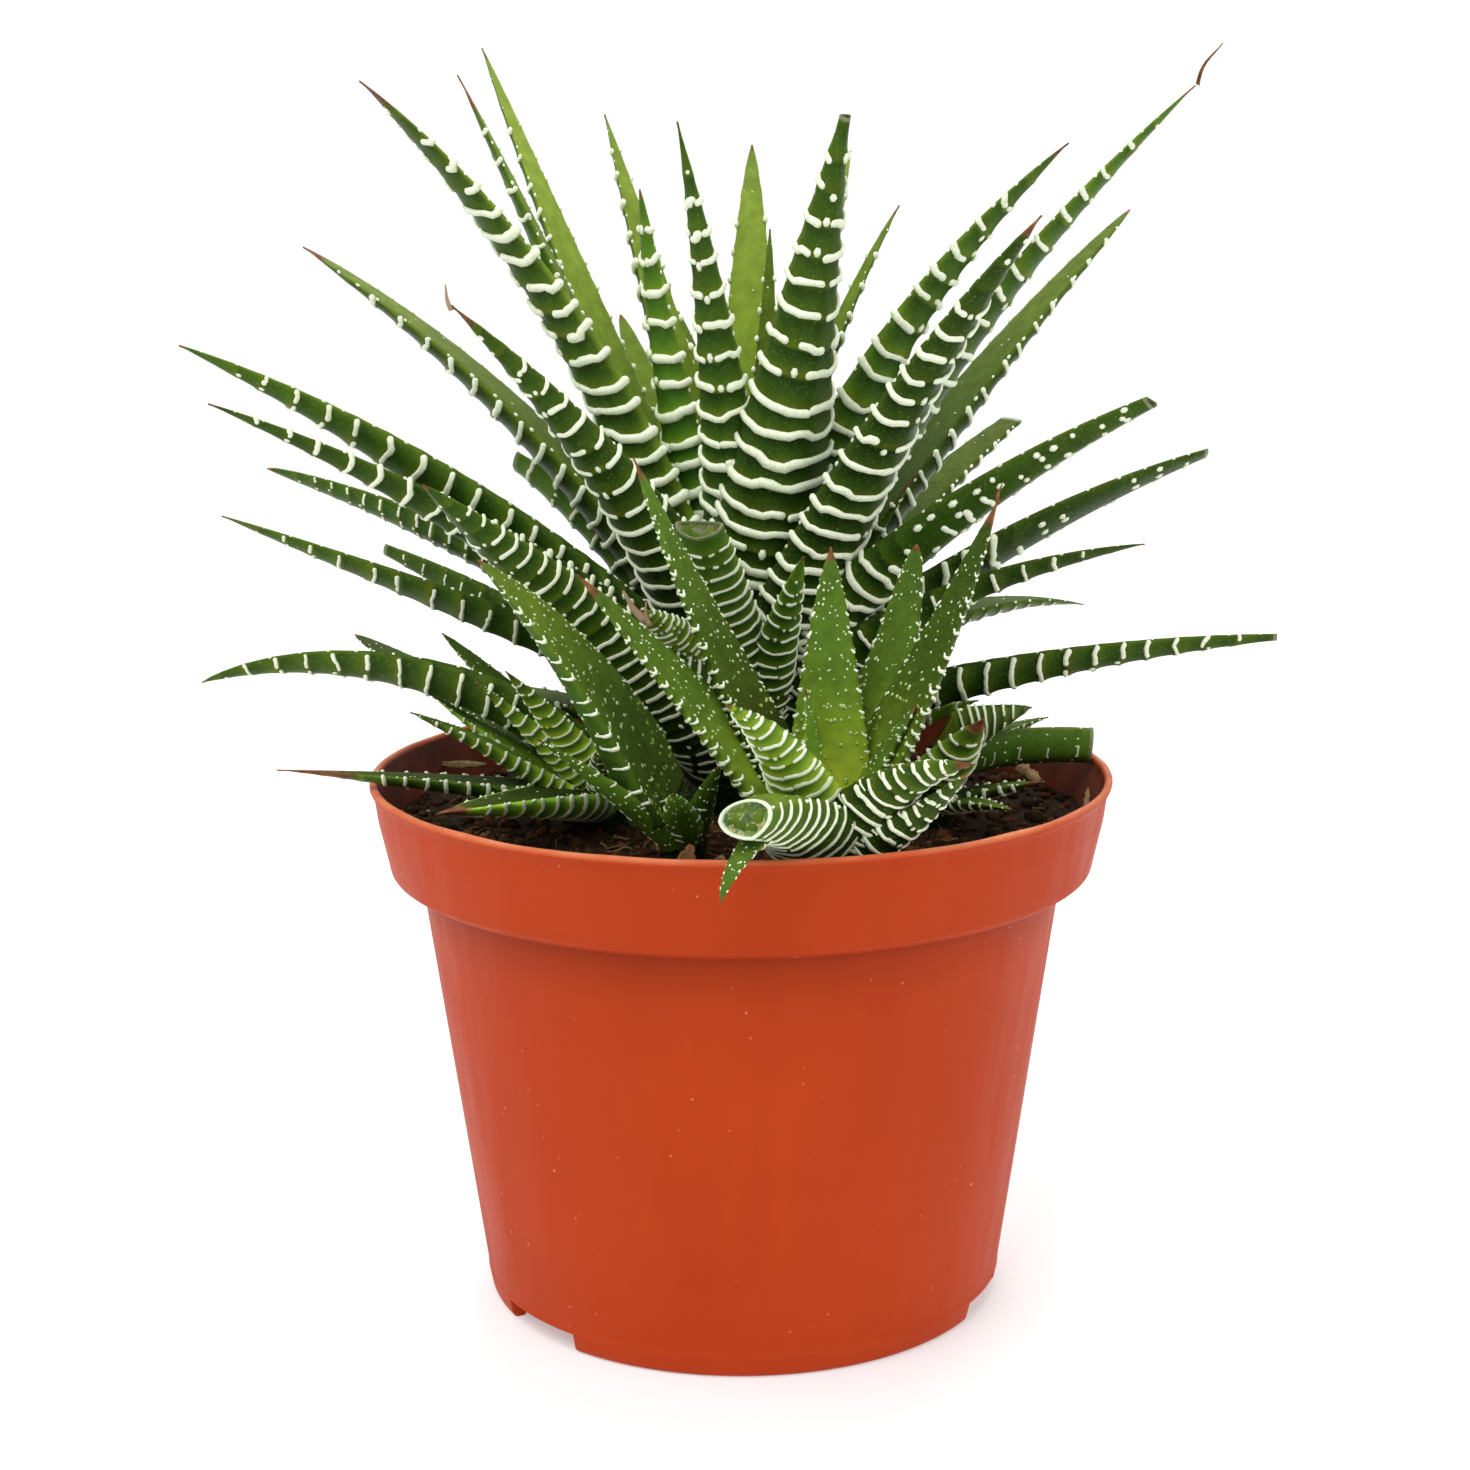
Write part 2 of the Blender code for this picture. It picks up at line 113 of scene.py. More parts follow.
Rosette = namedtuple("Rosette", "name stem outline leaves")
# A leaf: its tip, its height on the stem, how many degrees it bows, its width, the share of its
# length that is cut off, how far it sways aside, how many degrees it turns, and how fast it tapers
Leaf = namedtuple("Leaf", "name tip root bow width cut sway turn taper", defaults=(0.0, 0.0, 0.0, LEAF_TAPER))
# How a leaf's bands look: their spacing near the tip, its share near the base, their thickness,
# how bright the green between them is, dots to a square centimetre of the inner face, the size of
# the edge's teeth, how far bands hook at their ends as a share of the width, from what share of the
# length they are loose dots, and how far round the leaf they go
Look = namedtuple("Look", "pitch base tube tone dots tooth hook dotted reach",
                  defaults=(0.0, 1.5, 0.26, 0.06, 2.0, 1.0))


MAIN_LEAVES = (
    Leaf("heart_1", (2.4, 34, 177), 105.2, -4, 14.6, taper=0.67),
    Leaf("heart_2", (18.2, 34, 176), 104.8, 3, 10.2),
    Leaf("heart_3", (5, 18, 164), 108, 6, 7, sway=1.5),
    Leaf("heart_4", (14.6, -26, 179.6), 100, 4, 23.6, cut=0.06, sway=0.3, taper=1.0),
    Leaf("heart_5", (-8.3, -26, 179.3), 101, 6, 13.1, sway=-1.4, taper=0.93),
    Leaf("heart_6", (-14.3, -4, 170.2), 102.5, -2, 12.6, sway=1.9, taper=0.62),
    Leaf("heart_7", (-20.8, 28, 181.7), 102, 4, 13.8, taper=0.82),
    Leaf("heart_8", (25.1, 20, 167.5), 106.2, 12, 7.6, taper=0.62),
    Leaf("left_1", (-40, 30, 192), 99, 0, 14),
    Leaf("left_2", (-41.8, 9, 187.1), 94.6, 4, 13.2, sway=-1, taper=0.62),
    Leaf("left_3", (-53.5, -13, 185.5), 91.5, 21, 19.4, sway=3, taper=0.54),
    Leaf("left_4", (-65.5, 6, 162), 97.1, 14, 16.7, sway=-0.4, turn=6, taper=0.53),
    Leaf("left_5", (-38.3, -42, 155.3), 92.7, 8, 17, sway=-4.5, turn=-18, taper=0.88),
    Leaf("left_6", (-80.3, -16, 148.7), 88.5, 13, 17.5, sway=-0.4, turn=-25),
    Leaf("left_7", (-74.9, -24, 141), 91.4, 10, 14, sway=0.4, turn=-20),
    Leaf("left_8", (-78.4, 40, 125), 89, 10.6, 11.4, sway=2.2, turn=-50, taper=0.52),
    Leaf("left_9", (-80.8, 12, 120.6), 92.3, 2, 15.1, sway=-0.7, turn=-20, taper=0.68),
    Leaf("left_10", (-57.2, 30, 112.5), 82, 7.7, 14, cut=0.1, sway=-0.3, turn=-50, taper=0.69),
    Leaf("right_1", (66.1, -6, 184.5), 97.6, 13, 16.8),
    Leaf("right_2", (47.2, -12, 176.4), 102.7, 19, 18.7, sway=1.6, taper=0.69),
    Leaf("right_3", (40.3, -40, 166.6), 92.7, 10, 18, sway=0.8),
    Leaf("right_4", (63.4, 36, 166.5), 94.8, 7, 15.4, taper=0.52),
    Leaf("right_5", (56.7, -30, 141), 94.1, 11, 13.9, cut=0.12, sway=1.9, turn=20, taper=0.67),
    Leaf("right_6", (47.1, 60, 130.5), 89.5, 6, 14.1, cut=0.15, sway=-3.4, taper=0.62),
    Leaf("right_7", (71.8, 12, 129.5), 91.4, 14, 16.4, cut=0.08, sway=4, turn=20, taper=0.52),
    Leaf("right_8", (59.7, -12, 118.7), 90.8, 18.4, 14.5, sway=4, turn=15, taper=0.65),
    Leaf("right_9", (59.8, 54, 99.1), 87.2, 24.8, 14.5, sway=0.4, taper=0.55),
    Leaf("right_10", (82, 2, 102.4), 87, 8, 13.4, cut=0.08, sway=-0.8, turn=30, taper=0.82),
    Leaf("right_11", (26.4, -6, 128.8), 90, 2, 8),
    Leaf("low_1", (-43.5, -36, 130.7), 85, 1, 21.5, sway=-1.7, turn=-20, taper=0.7),
    Leaf("low_2", (-5.7, -24, 123.4), 86, 8, 16, cut=0.3),
    Leaf("low_3", (9.1, -22, 118.5), 86, 3, 11),
    Leaf("low_4", (-14.6, -27, 111.6), 92, 8, 11, turn=-40, taper=0.6),
    Leaf("back_1", (-20.4, 66, 148.7), 93.1, 4, 13.2, taper=0.57),
    Leaf("back_2", (-34.3, 15, 128.3), 90, 19.5, 13, cut=0.12, sway=-4, turn=-50, taper=0.52),
    Leaf("back_3", (7, 66, 130), 90, 8, 13),
    Leaf("back_4", (25, 61, 133), 90, 8, 13),
    Leaf("back_5", (-10, 50, 150), 96, 6, 13, sway=1.5),
    Leaf("back_6", (12, 54, 150), 96, 6, 13),
    Leaf("back_7", (-44, 50, 97), 84, 14, 12),
    Leaf("back_8", (-14, 62, 102), 84, 16, 13),
    Leaf("back_9", (17, 60, 98), 84, 16, 13),
    Leaf("back_10", (40, 56, 101), 84, 14, 12),
    Leaf("back_11", (-29, 47, 91), 80.5, 20, 13),
    Leaf("back_12", (31, 44, 90), 80.5, 20, 13),
    Leaf("back_13", (3, 53, 90), 80.5, 22, 14),
    Leaf("back_14", (38, 14, 90.2), 83.5, 3, 17, turn=20, taper=0.6),
    Leaf("back_15", (-50.4, 27, 91), 81.4, 15, 11, sway=-1.5, taper=0.52),
)
FRONT_LEAVES = (
    Leaf("front_1", (-14.5, -36, 134.2), 84, -3, 12, turn=20),
    Leaf("front_2", (-22.1, -44, 119.3), 83, 3, 13, turn=30),
    Leaf("front_3", (12.6, -34, 121.5), 86, 2, 13),
    Leaf("front_4", (35.5, -36, 128.1), 84, -4, 12, turn=-20),
    Leaf("front_5", (25.1, -26, 120.7), 85, -2, 12, sway=1.5, taper=0.52),
    Leaf("front_6", (24.2, -42, 100.6), 83, 8, 8, turn=-15),
    Leaf("front_7", (9, -40, 102.5), 86, 2, 6),
    Leaf("front_8", (30.8, -58, 95.8), 81, 32, 14, turn=25),
    Leaf("front_9", (30.4, -52, 93.3), 80, -8, 11, turn=20),
    Leaf("front_10", (-2, -62, 104.8), 83, 22, 12, turn=-15),
    Leaf("front_11", (0.5, -62, 90.2), 82, 20, 15.4, cut=0.4, turn=-20),
    Leaf("front_12", (-2.9, -66, 79), 83, 62, 7.5),
)
LEFT_LEAVES = (
    Leaf("near_left_1", (-35.2, -46, 121.6), 84, 12, 18, turn=45),
    Leaf("near_left_2", (-27.8, -46, 97.1), 80, 4, 8),
    Leaf("near_left_3", (-21, -38, 100.1), 81, 4, 7),
    Leaf("near_left_4", (-9.4, -47, 89.5), 80, 10, 7),
    Leaf("near_left_5", (-3, -40, 92), 80, 6, 6),
)
FAR_LEFT_LEAVES = (
    Leaf("far_left_1", (-49.3, -12, 94), 79.5, 6, 10.3, taper=0.62),
    Leaf("far_left_2", (-34, -22, 102), 83.5, 4, 10),
    Leaf("far_left_3", (-39.1, -15, 99.2), 83, 2, 10.6),
    Leaf("far_left_4", (-47.1, -3, 95), 80.1, -2, 9.1, sway=-0.8, taper=0.62),
    Leaf("far_left_5", (-20.8, -26, 90.8), 80, 8, 7),
    Leaf("far_left_6", (-68.9, -16, 86.2), 80.5, 2, 9, taper=0.92),
    Leaf("far_left_7", (-43.7, -29, 82.5), 81.5, 4, 13),
    Leaf("far_left_8", (-47.2, 14, 101.5), 81.8, 4, 9.2, sway=-0.4, taper=0.62),
    Leaf("far_left_9", (-64.1, 35, 97.8), 82.9, 1, 12.5, taper=0.52),
    Leaf("far_left_10", (-82.1, -3, 97), 86, 32, 13, turn=-35, taper=0.65),
)
RIGHT_LEAVES = (
    Leaf("near_right_1", (45.1, 2, 91.4), 89, 0, 12.4, sway=-0.8, turn=45),
    Leaf("near_right_2", (48.4, 8, 88.6), 84.5, 6, 8, sway=-1.5),
    Leaf("near_right_3", (36, -16, 93.4), 84, 6, 12),
    Leaf("near_right_4", (45.8, -11, 82.6), 79, 6, 7),
    Leaf("near_right_5", (54.4, 7, 84.5), 84, 5.3, 8, cut=0.8, sway=-4, turn=55),
    Leaf("near_right_6", (39.8, -22, 80.9), 79, 6, 6.2),
)
ROSETTES = (
    Rosette("main_rosette", (1, 7), ((7, 65), (7, 77), (10, 80), (9, 90), (7, 102), (0, 112)), MAIN_LEAVES),
    Rosette("offset_front", (12, -42), ((4, 70), (4, 78), (4.5, 82), (0, 90)), FRONT_LEAVES),
    Rosette("offset_left", (-8, -30), ((3, 67), (3, 78), (3.5, 81), (0, 87)), LEFT_LEAVES),
    Rosette("offset_far_left", (-20, -6), ((3, 67), (3, 78), (3.5, 81), (0, 87)), FAR_LEFT_LEAVES),
    Rosette("offset_right", (29, -5), ((3, 67), (3, 78), (3.5, 81), (0, 87)), RIGHT_LEAVES),
)

# How far from its tip each withered leaf is dry and brown
DRY_TIPS = {
    "left_1": 2.5, "left_2": 7, "left_3": 6, "left_4": 4.5, "left_5": 5, "right_1": 3, "right_2": 3,
    "right_3": 4.5, "right_11": 5, "heart_8": 2.5, "front_1": 4, "front_2": 5, "front_3": 2.5,
    "front_4": 4.5, "front_8": 3, "low_4": 2, "near_right_3": 3.5, "near_right_4": 3.5,
    "far_left_6": 14, "far_left_7": 6,
}
# Withered threads at the ends of some leaves: start, end, thickness, bend, and whether pale
THREADS = {
    "right_1": [((66.5, -6, 184.5), (69.5, -6, 190.5), 0.7, 0.5, False)],
    "left_5": [((-38.3, -42, 154.6), (-39.2, -42, 158), 0.8, 0.2, True)],
    "front_4": [((35.5, -36, 127.6), (35.9, -36, 130.4), 0.7, 0.2, False)],
    "low_4": [((-13.4, -28, 110.2), (-16.8, -28, 114.4), 1.5, 0.3, True),
              ((-12.8, -28.4, 109.6), (-13.6, -28.6, 113), 0.9, 0.3, True)],
}
# The look of each ring of leaves, and of single leaves that differ from their ring
LOOKS = {
    "heart": Look(4.6, 0.45, 1.28),
    "left": Look(4.7, 0.45, 0.84),
    "left_3": Look(4.4, 0.6, 1.25, 0.1, hook=0.05),
    "left_4": Look(4.9, 0.5, 0.85, 0.1, tooth=0.24, hook=0.12, reach=0.92),
    "left_6": Look(5.0, 0.5, 0.84, tooth=0.24, hook=0.12, reach=0.84),
    "left_5": Look(4.1, 0.5, 0.92),
    "left_8": Look(3.3, 0.9, 0.56, tooth=0.2, reach=0.7),
    "left_9": Look(4.9, 0.6, 0.62, 0.1, tooth=0.2, reach=0.74),
    "left_10": Look(3.8, 0.8, 0.36, tooth=0.18, reach=0.6),
    "right": Look(4.7, 0.45, 0.86),
    "right_2": Look(4.5, 0.5, 1.02),
    "right_3": Look(4.3, 0.5, 1.1),
    "right_5": Look(3.5, 0.6, 1.1, tooth=0.24, hook=0.1, dotted=0.42),
    "right_7": Look(4.3, 0.6, 1.02, tooth=0.24, hook=0.14, dotted=0.55, reach=0.9),
    "right_8": Look(4.4, 0.6, 0.66, tooth=0.22, reach=0.8),
    "right_9": Look(3.6, 0.8, 0.4, 0.3, tooth=0.2, reach=0.7),
    "right_10": Look(4.3, 0.7, 0.78, tooth=0.22, hook=0.16, reach=0.86),
    "low": Look(2.6, 0.6, 0.6, dots=2.0, tooth=0.24),
    "low_1": Look(2.7, 0.75, 0.68, dots=2.0, tooth=0.24),
    "low_4": Look(1.6, 0.8, 0.6, 1.0, 2.0, 0.24),
    "back": Look(4.7, 0.45, 0.85),
    "front": Look(2.0, 0.7, 0.44, 0.7, 42.0, 0.36, 0.04),
    "front_8": Look(2.1, 0.9, 0.68, 0.15, 30.0, 0.36, 0.04),
    "front_9": Look(2.0, 0.9, 0.66, 0.1, 30.0, 0.36, 0.04),
    "front_10": Look(2.2, 0.85, 0.74, 1.0, 34.0, 0.36, 0.04),
    "front_11": Look(2.1, 0.9, 0.56, dots=20.0, tooth=0.3, hook=0.04),
    "near_left": Look(2.2, 0.7, 0.4, 0.3, 16.0, 0.32, 0.04, 0.0),
    "near_left_1": Look(2.6, 0.8, 0.45, 0.1, 38.0, 0.42, 0.04, 0.0),
    "far_left": Look(2.2, 0.7, 0.48, 0.6, 12.0, 0.28, 0.04),
    "far_left_6": Look(3.2, 0.6, 0.66, dots=4.0, hook=0.04),
    "far_left_7": Look(2.9, 0.6, 0.62, 0.1, 6.0, 0.28, 0.04),
    "far_left_10": Look(4.7, 0.7, 0.62, 0.1, tooth=0.22, reach=0.8),
    "near_right": Look(2.2, 0.7, 0.46, 0.5, 12.0, 0.28, 0.04),
    "near_right_3": Look(2.4, 0.8, 0.7, 0.2, 10.0, 0.28, 0.04),
    "near_right_4": Look(2.4, 0.8, 0.72, dots=6.0, tooth=0.28, hook=0.04),
    "near_right_5": Look(3.0, 0.8, 0.34, 0.15, 8.0, 0.2, 0.04, 0.0),
    "near_right_6": Look(2.2, 0.8, 0.66, dots=6.0, tooth=0.28, hook=0.04),
}
# How far in millimetres a leaf's bands run aslant, from its middle to its edge
SLANTS = {"left_3": 3.0, "left_2": 1.2, "right_3": -1.0}
# How far the inner face bulges near the end, as a share of the leaf's depth
PLUMP = {"front_11": 0.5, "near_right_5": 0.3}
# How bright some leaves are near their base and near their tip, where they stand in shade or in light
SHADES = {
    "heart_5": (1.4, 1.2), "heart_6": (3.0, 2.1), "heart_8": (1.2, 1.4), "left_1": (1, 1.15),
    "left_2": (1.5, 1.5), "left_3": (1.4, 0.95), "left_4": (0.6, 0.85), "left_5": (0.3, 1.1),
    "left_6": (1.1, 1.5), "left_7": (0.75, 1), "left_8": (0.9, 1.25), "left_9": (0.8, 1.3),
    "right_1": (0.5, 2), "right_2": (2, 1.3), "right_3": (0.8, 0.7), "right_4": (0.6, 1.1),
    "right_6": (0.5, 0.7), "right_7": (0.6, 0.8), "right_8": (1, 0.7), "right_9": (0.8, 0.8),
    "right_10": (0.7, 1), "right_11": (1.8, 1.1), "low_1": (1.2, 1), "low_2": (0.9, 1.8),
    "low_3": (1, 2.3), "back_1": (1.2, 1.3), "back_2": (0.5, 2.2), "back_14": (3, 3),
    "front_1": (-0.3, 1.5), "front_3": (1.15, 1.1), "front_4": (0.6, 0.5), "front_5": (1.1, 0.8),
    "front_7": (2, 2), "front_8": (0.2, 1.2), "front_9": (0.2, 1), "front_10": (1.5, 1.1),
    "front_11": (0.6, 1.6), "near_left_1": (1.7, 1.3), "near_left_2": (3.3, 0.6),
    "near_left_4": (2.4, 2.4), "far_left_1": (2.6, 0.7), "far_left_2": (4, 0.4), "far_left_3": (4, 0.6),
    "far_left_4": (3, 2.5), "far_left_6": (1.6, 1.5), "far_left_7": (5, 8), "far_left_9": (0.4, 0.4),
    "near_right_1": (0.4, 0.7), "near_right_3": (2.2, 1.4), "near_right_5": (1.4, 1.4),
}
# How bright the inner face of some leaves is beside their outer face
INNER_SHADES = {"left_4": 0.9, "right_9": 0.8, "far_left_6": 0.35, "far_left_7": 0.07}
DARKEST_SHADE = 0.12
# Leaves that stand against the light, so that their inner face glows
BACKLIT = ("heart_1", "heart_2", "heart_7", "left_1", "left_3", "left_4")
# Leaves that were cut not long ago, so that their cut face is still moist
MOIST_CUTS = ("front_11",)
# Clusters of grains on the peat: middle, spread, how many, and how pale
GRAINS = (
    (44, -22, 4.5, 60, 0.9), (38, -30, 4, 40, 0.6), (30, -36, 4, 26, 0.4), (48, -14, 3, 26, 0.7),
    (-44, -12, 4, 24, 0.2), (-36, -30, 5, 30, 0.15), (-8, -44, 4, 26, 0.25), (20, 40, 12, 40, 0.4),
)
# Flakes on the peat: middle, half length, half width, curl and tint
FLAKES = (
    ((43.9, -3.2, 82.3), (1.9, 0.3, -1.2), (0.7, 0, 0.9), 1.0, (0.9, 0.6, 0)),
    ((-7.9, -45, 79), (1.0, 0.3, 2.6), (1.2, 0, -0.4), 0.5, (1.0, 0.15, 0)),
    ((-46.6, 25.6, 77.6), (4.6, 1.2, -0.4), (0.1, 0.5, 0.5), 0.3, (0.6, 0.6, 0)),
    ((52.4, -9.5, 79.3), (0.4, 1.6, 1.3), (-0.4, 0.5, 0.3), 0.3, (0.9, 0.45, 0)),
)
FIRST_SEED = 11
# The lights' places and sizes in metres, their power, and the point they face
LIGHTS = (
    ("key", (-0.7, -0.9, 1.8), 1.6, 34.0),
    ("fill", (1.2, -0.9, 1.0), 1.4, 8.0),
    ("back", (0.2, 1.3, 1.5), 1.4, 16.0),
)
FLOOR_RADIUS = 0.9
WORLD_RANGE = {"From Min": -0.3, "From Max": 0.3, "To Min": 0.45, "To Max": 1.05}
AIM = Vector((0.0, 0.0, 0.1))


def unit(vectors):
    return vectors / np.linalg.norm(vectors, axis=-1, keepdims=True)


def turns(count):
    """Angles that part a whole turn evenly."""
    return np.linspace(0, 2 * math.pi, count + 1)[:-1]


def around(radius, angle):
    """The place at a distance from the middle, at an angle from the front."""
    return radius * math.sin(angle), -radius * math.cos(angle)


def circle(count):
    """Directions all round, as flat points."""
    angles = turns(count)
    return np.stack([np.sin(angles), -np.cos(angles), 0 * angles], -1)


class Leafwork:
    """The surface of one leaf, and the places of its bands."""

    def __init__(self, row, stem, look, seed):
        self.row, self.look = row, look
        self.draw = np.random.default_rng(seed)
        tip = np.array(row.tip, float)
        out = unit(np.array([tip[0] - stem[0], tip[1] - stem[1], 0.0]))
        root = np.array([stem[0], stem[1], row.root]) + 1.5 * out
        reach = tip - root
        self.length = np.linalg.norm(reach)
        along = unit(reach)
        self.side = unit(np.cross(along, (0.0, 0.0, 1.0)))
        rise = np.cross(self.side, along)
        bow = math.radians(row.bow)
        third = self.length / 3
        swing = self.side * row.sway
        lean, lift = along * math.cos(bow), rise * math.sin(bow)
        self.points = root, root + third * (lean + lift) + swing, tip - third * (lean - lift) + swing, tip
        self.dry = DRY_TIPS.get(row.name, 0.01 if row.cut else TIP_WITHERED) / self.length
        self.broken = self.draw.uniform(0.15, 0.6)
        self.bands = self.band_shares()
        self.knots = np.concatenate([[0.0], self.bands, [1.0]])
        self.last = len(self.bands) + 1
        self.waves = self.band_waves()

    def band_shares(self):
        """Where the bands cross the leaf, closer together towards its base."""
        shares = [FIRST_BAND]
        last = LAST_BAND_CUT if self.row.cut else LAST_BAND
        while shares[-1] < last:
            at = shares[-1] * (1 - self.row.cut)
            crowd = self.look.base + (1 - self.look.base) * min(1.0, at / 0.5)
            pitch = self.look.pitch * crowd * self.draw.uniform(0.9, 1.1)
            shares.append(shares[-1] + pitch / self.length)
        return np.array(shares[:-1])

    def band_waves(self):
        """For each band and one past each end: sizes and phases of its waves."""
        count = self.last + 1
        size = self.draw.uniform(0.2, 1.0, (count, 3)) * WAVE_SIZES * min(self.look.tube, 0.9)
        phase = self.draw.uniform(0, 2 * math.pi, (count, 3))
        return size, phase

    def wave(self, number, across):
        """How far in millimetres a band runs from a straight ring, at places across."""
        size, phase = self.waves
        number = np.clip(number, 0, self.last)
        return (size[number] * np.sin(across[..., None] * WAVE_RATES + phase[number])).sum(-1)

    def shift(self, number, across):
        """A band's whole shift along the leaf: its waves, and its hooks at the edges."""
        whole = np.floor(number).astype(int)
        part = number - whole
        low, high = self.wave(whole, across), self.wave(whole + 1, across)
        share = self.straight(number)
        hook = self.look.hook * self.row.width * (1 - 0.55 * share) * np.abs(across) ** 4
        fade = np.clip((1 - share) * 8, 0, 1)
        slant = SLANTS.get(self.row.name, 0.0) * np.clip(across, -0.75, 0.75)
        return (low * (1 - part) + high * part + hook + slant) * fade

    def straight(self, number):
        """The share of the leaf's length at a band number, on the middle line."""
        return np.interp(number, np.arange(self.last + 1), self.knots)

    def number(self, share):
        """The band number at a share of the leaf's length."""
        return np.interp(share, self.knots, np.arange(self.last + 1))

    def pitch(self, number):
        """How far in millimetres it is from a band to the next."""
        return self.length * (self.knots[min(int(number) + 1, self.last)] - self.knots[int(number)])

    def share(self, number, across):
        """The share of the leaf's length at a band number, at a place across."""
        return np.clip(self.straight(number) + self.shift(number, across) / self.length, 0, 1)

    def withered(self, share):
        """How dry the leaf is, from 0 to 1 at its tip."""
        return np.clip((share - 1 + self.dry) / self.dry, 0, 1) * (not self.row.cut)

    def frames(self, share):
        """Points of the middle line, and its axes: along, across, and towards the inner face."""
        p0, p1, p2, p3 = self.points
        s = share[..., None]
        at = (1 - s) ** 3 * p0 + 3 * (1 - s) ** 2 * s * p1 + 3 * (1 - s) * s**2 * p2 + s**3 * p3
        way = unit((1 - s) ** 2 * (p1 - p0) + 2 * (1 - s) * s * (p2 - p1) + s**2 * (p3 - p2))
        across = unit(self.side - way * (way @ self.side)[..., None])
        inner = np.cross(across, way)
        turn = math.radians(self.row.turn)
        return (at, way, across * math.cos(turn) + inner * math.sin(turn),
                inner * math.cos(turn) - across * math.sin(turn))

    def size(self, share):
        """Half the leaf's width, and its depth from edge to keel."""
        left = 1 - share * (1 - self.row.cut)
        base = np.minimum(1.0, 0.72 + 1.6 * share)
        shrunk = 1 - 0.3 * self.withered(share)
        half = np.maximum(self.row.width / 2 * left**self.row.taper * base * shrunk, TIP_HALF)
        depth = np.maximum(self.row.width * LEAF_DEPTH * left**0.8 * shrunk, TIP_DEPTH)
        return half, depth

    def green(self, share):
        """How green bands and dots are: on a bright leaf they are so near its base."""
        return self.look.tone * np.clip(1.1 - 2.2 * share, 0, 0.8)

    def surface(self, number, across, inner=False):
        """Points and normals of the outer or the inner face."""
        share = self.share(number, across)
        at, way, side, up = self.frames(share)
        half, depth = self.size(share)
        angle = across * math.pi / 2
        wide, deep = np.sin(angle), np.cos(angle)
        if inner:
            bulge = PLUMP.get(self.row.name, 0.0) * np.clip((share - 0.45) / 0.4, 0, 1)
            rise = deep * depth * (0.16 * share - 0.06 + bulge)
            return at + side * (half * wide)[..., None] + up * rise[..., None], up
        phase = number - np.floor(number)
        swell = np.exp(-((np.minimum(phase, 1 - phase) / 0.2) ** 2))
        ridge = BAND_SWELL * swell * np.minimum(1, depth / 3)
        ridge = ridge * (number > 0.5) * np.minimum(1, self.look.tube) * (share < self.look.dotted)
        normal = unit(side * (wide / half)[..., None] - up * (deep / depth)[..., None])
        ridged = 0.16 + 0.3 * share
        keel = 1 - ridged + ridged * (1.12 - np.abs(across)) / np.maximum(deep, 0.3)
        points = at + side * (half * wide)[..., None] - up * (depth * deep * keel)[..., None]
        return points + normal * ridge[..., None], normal


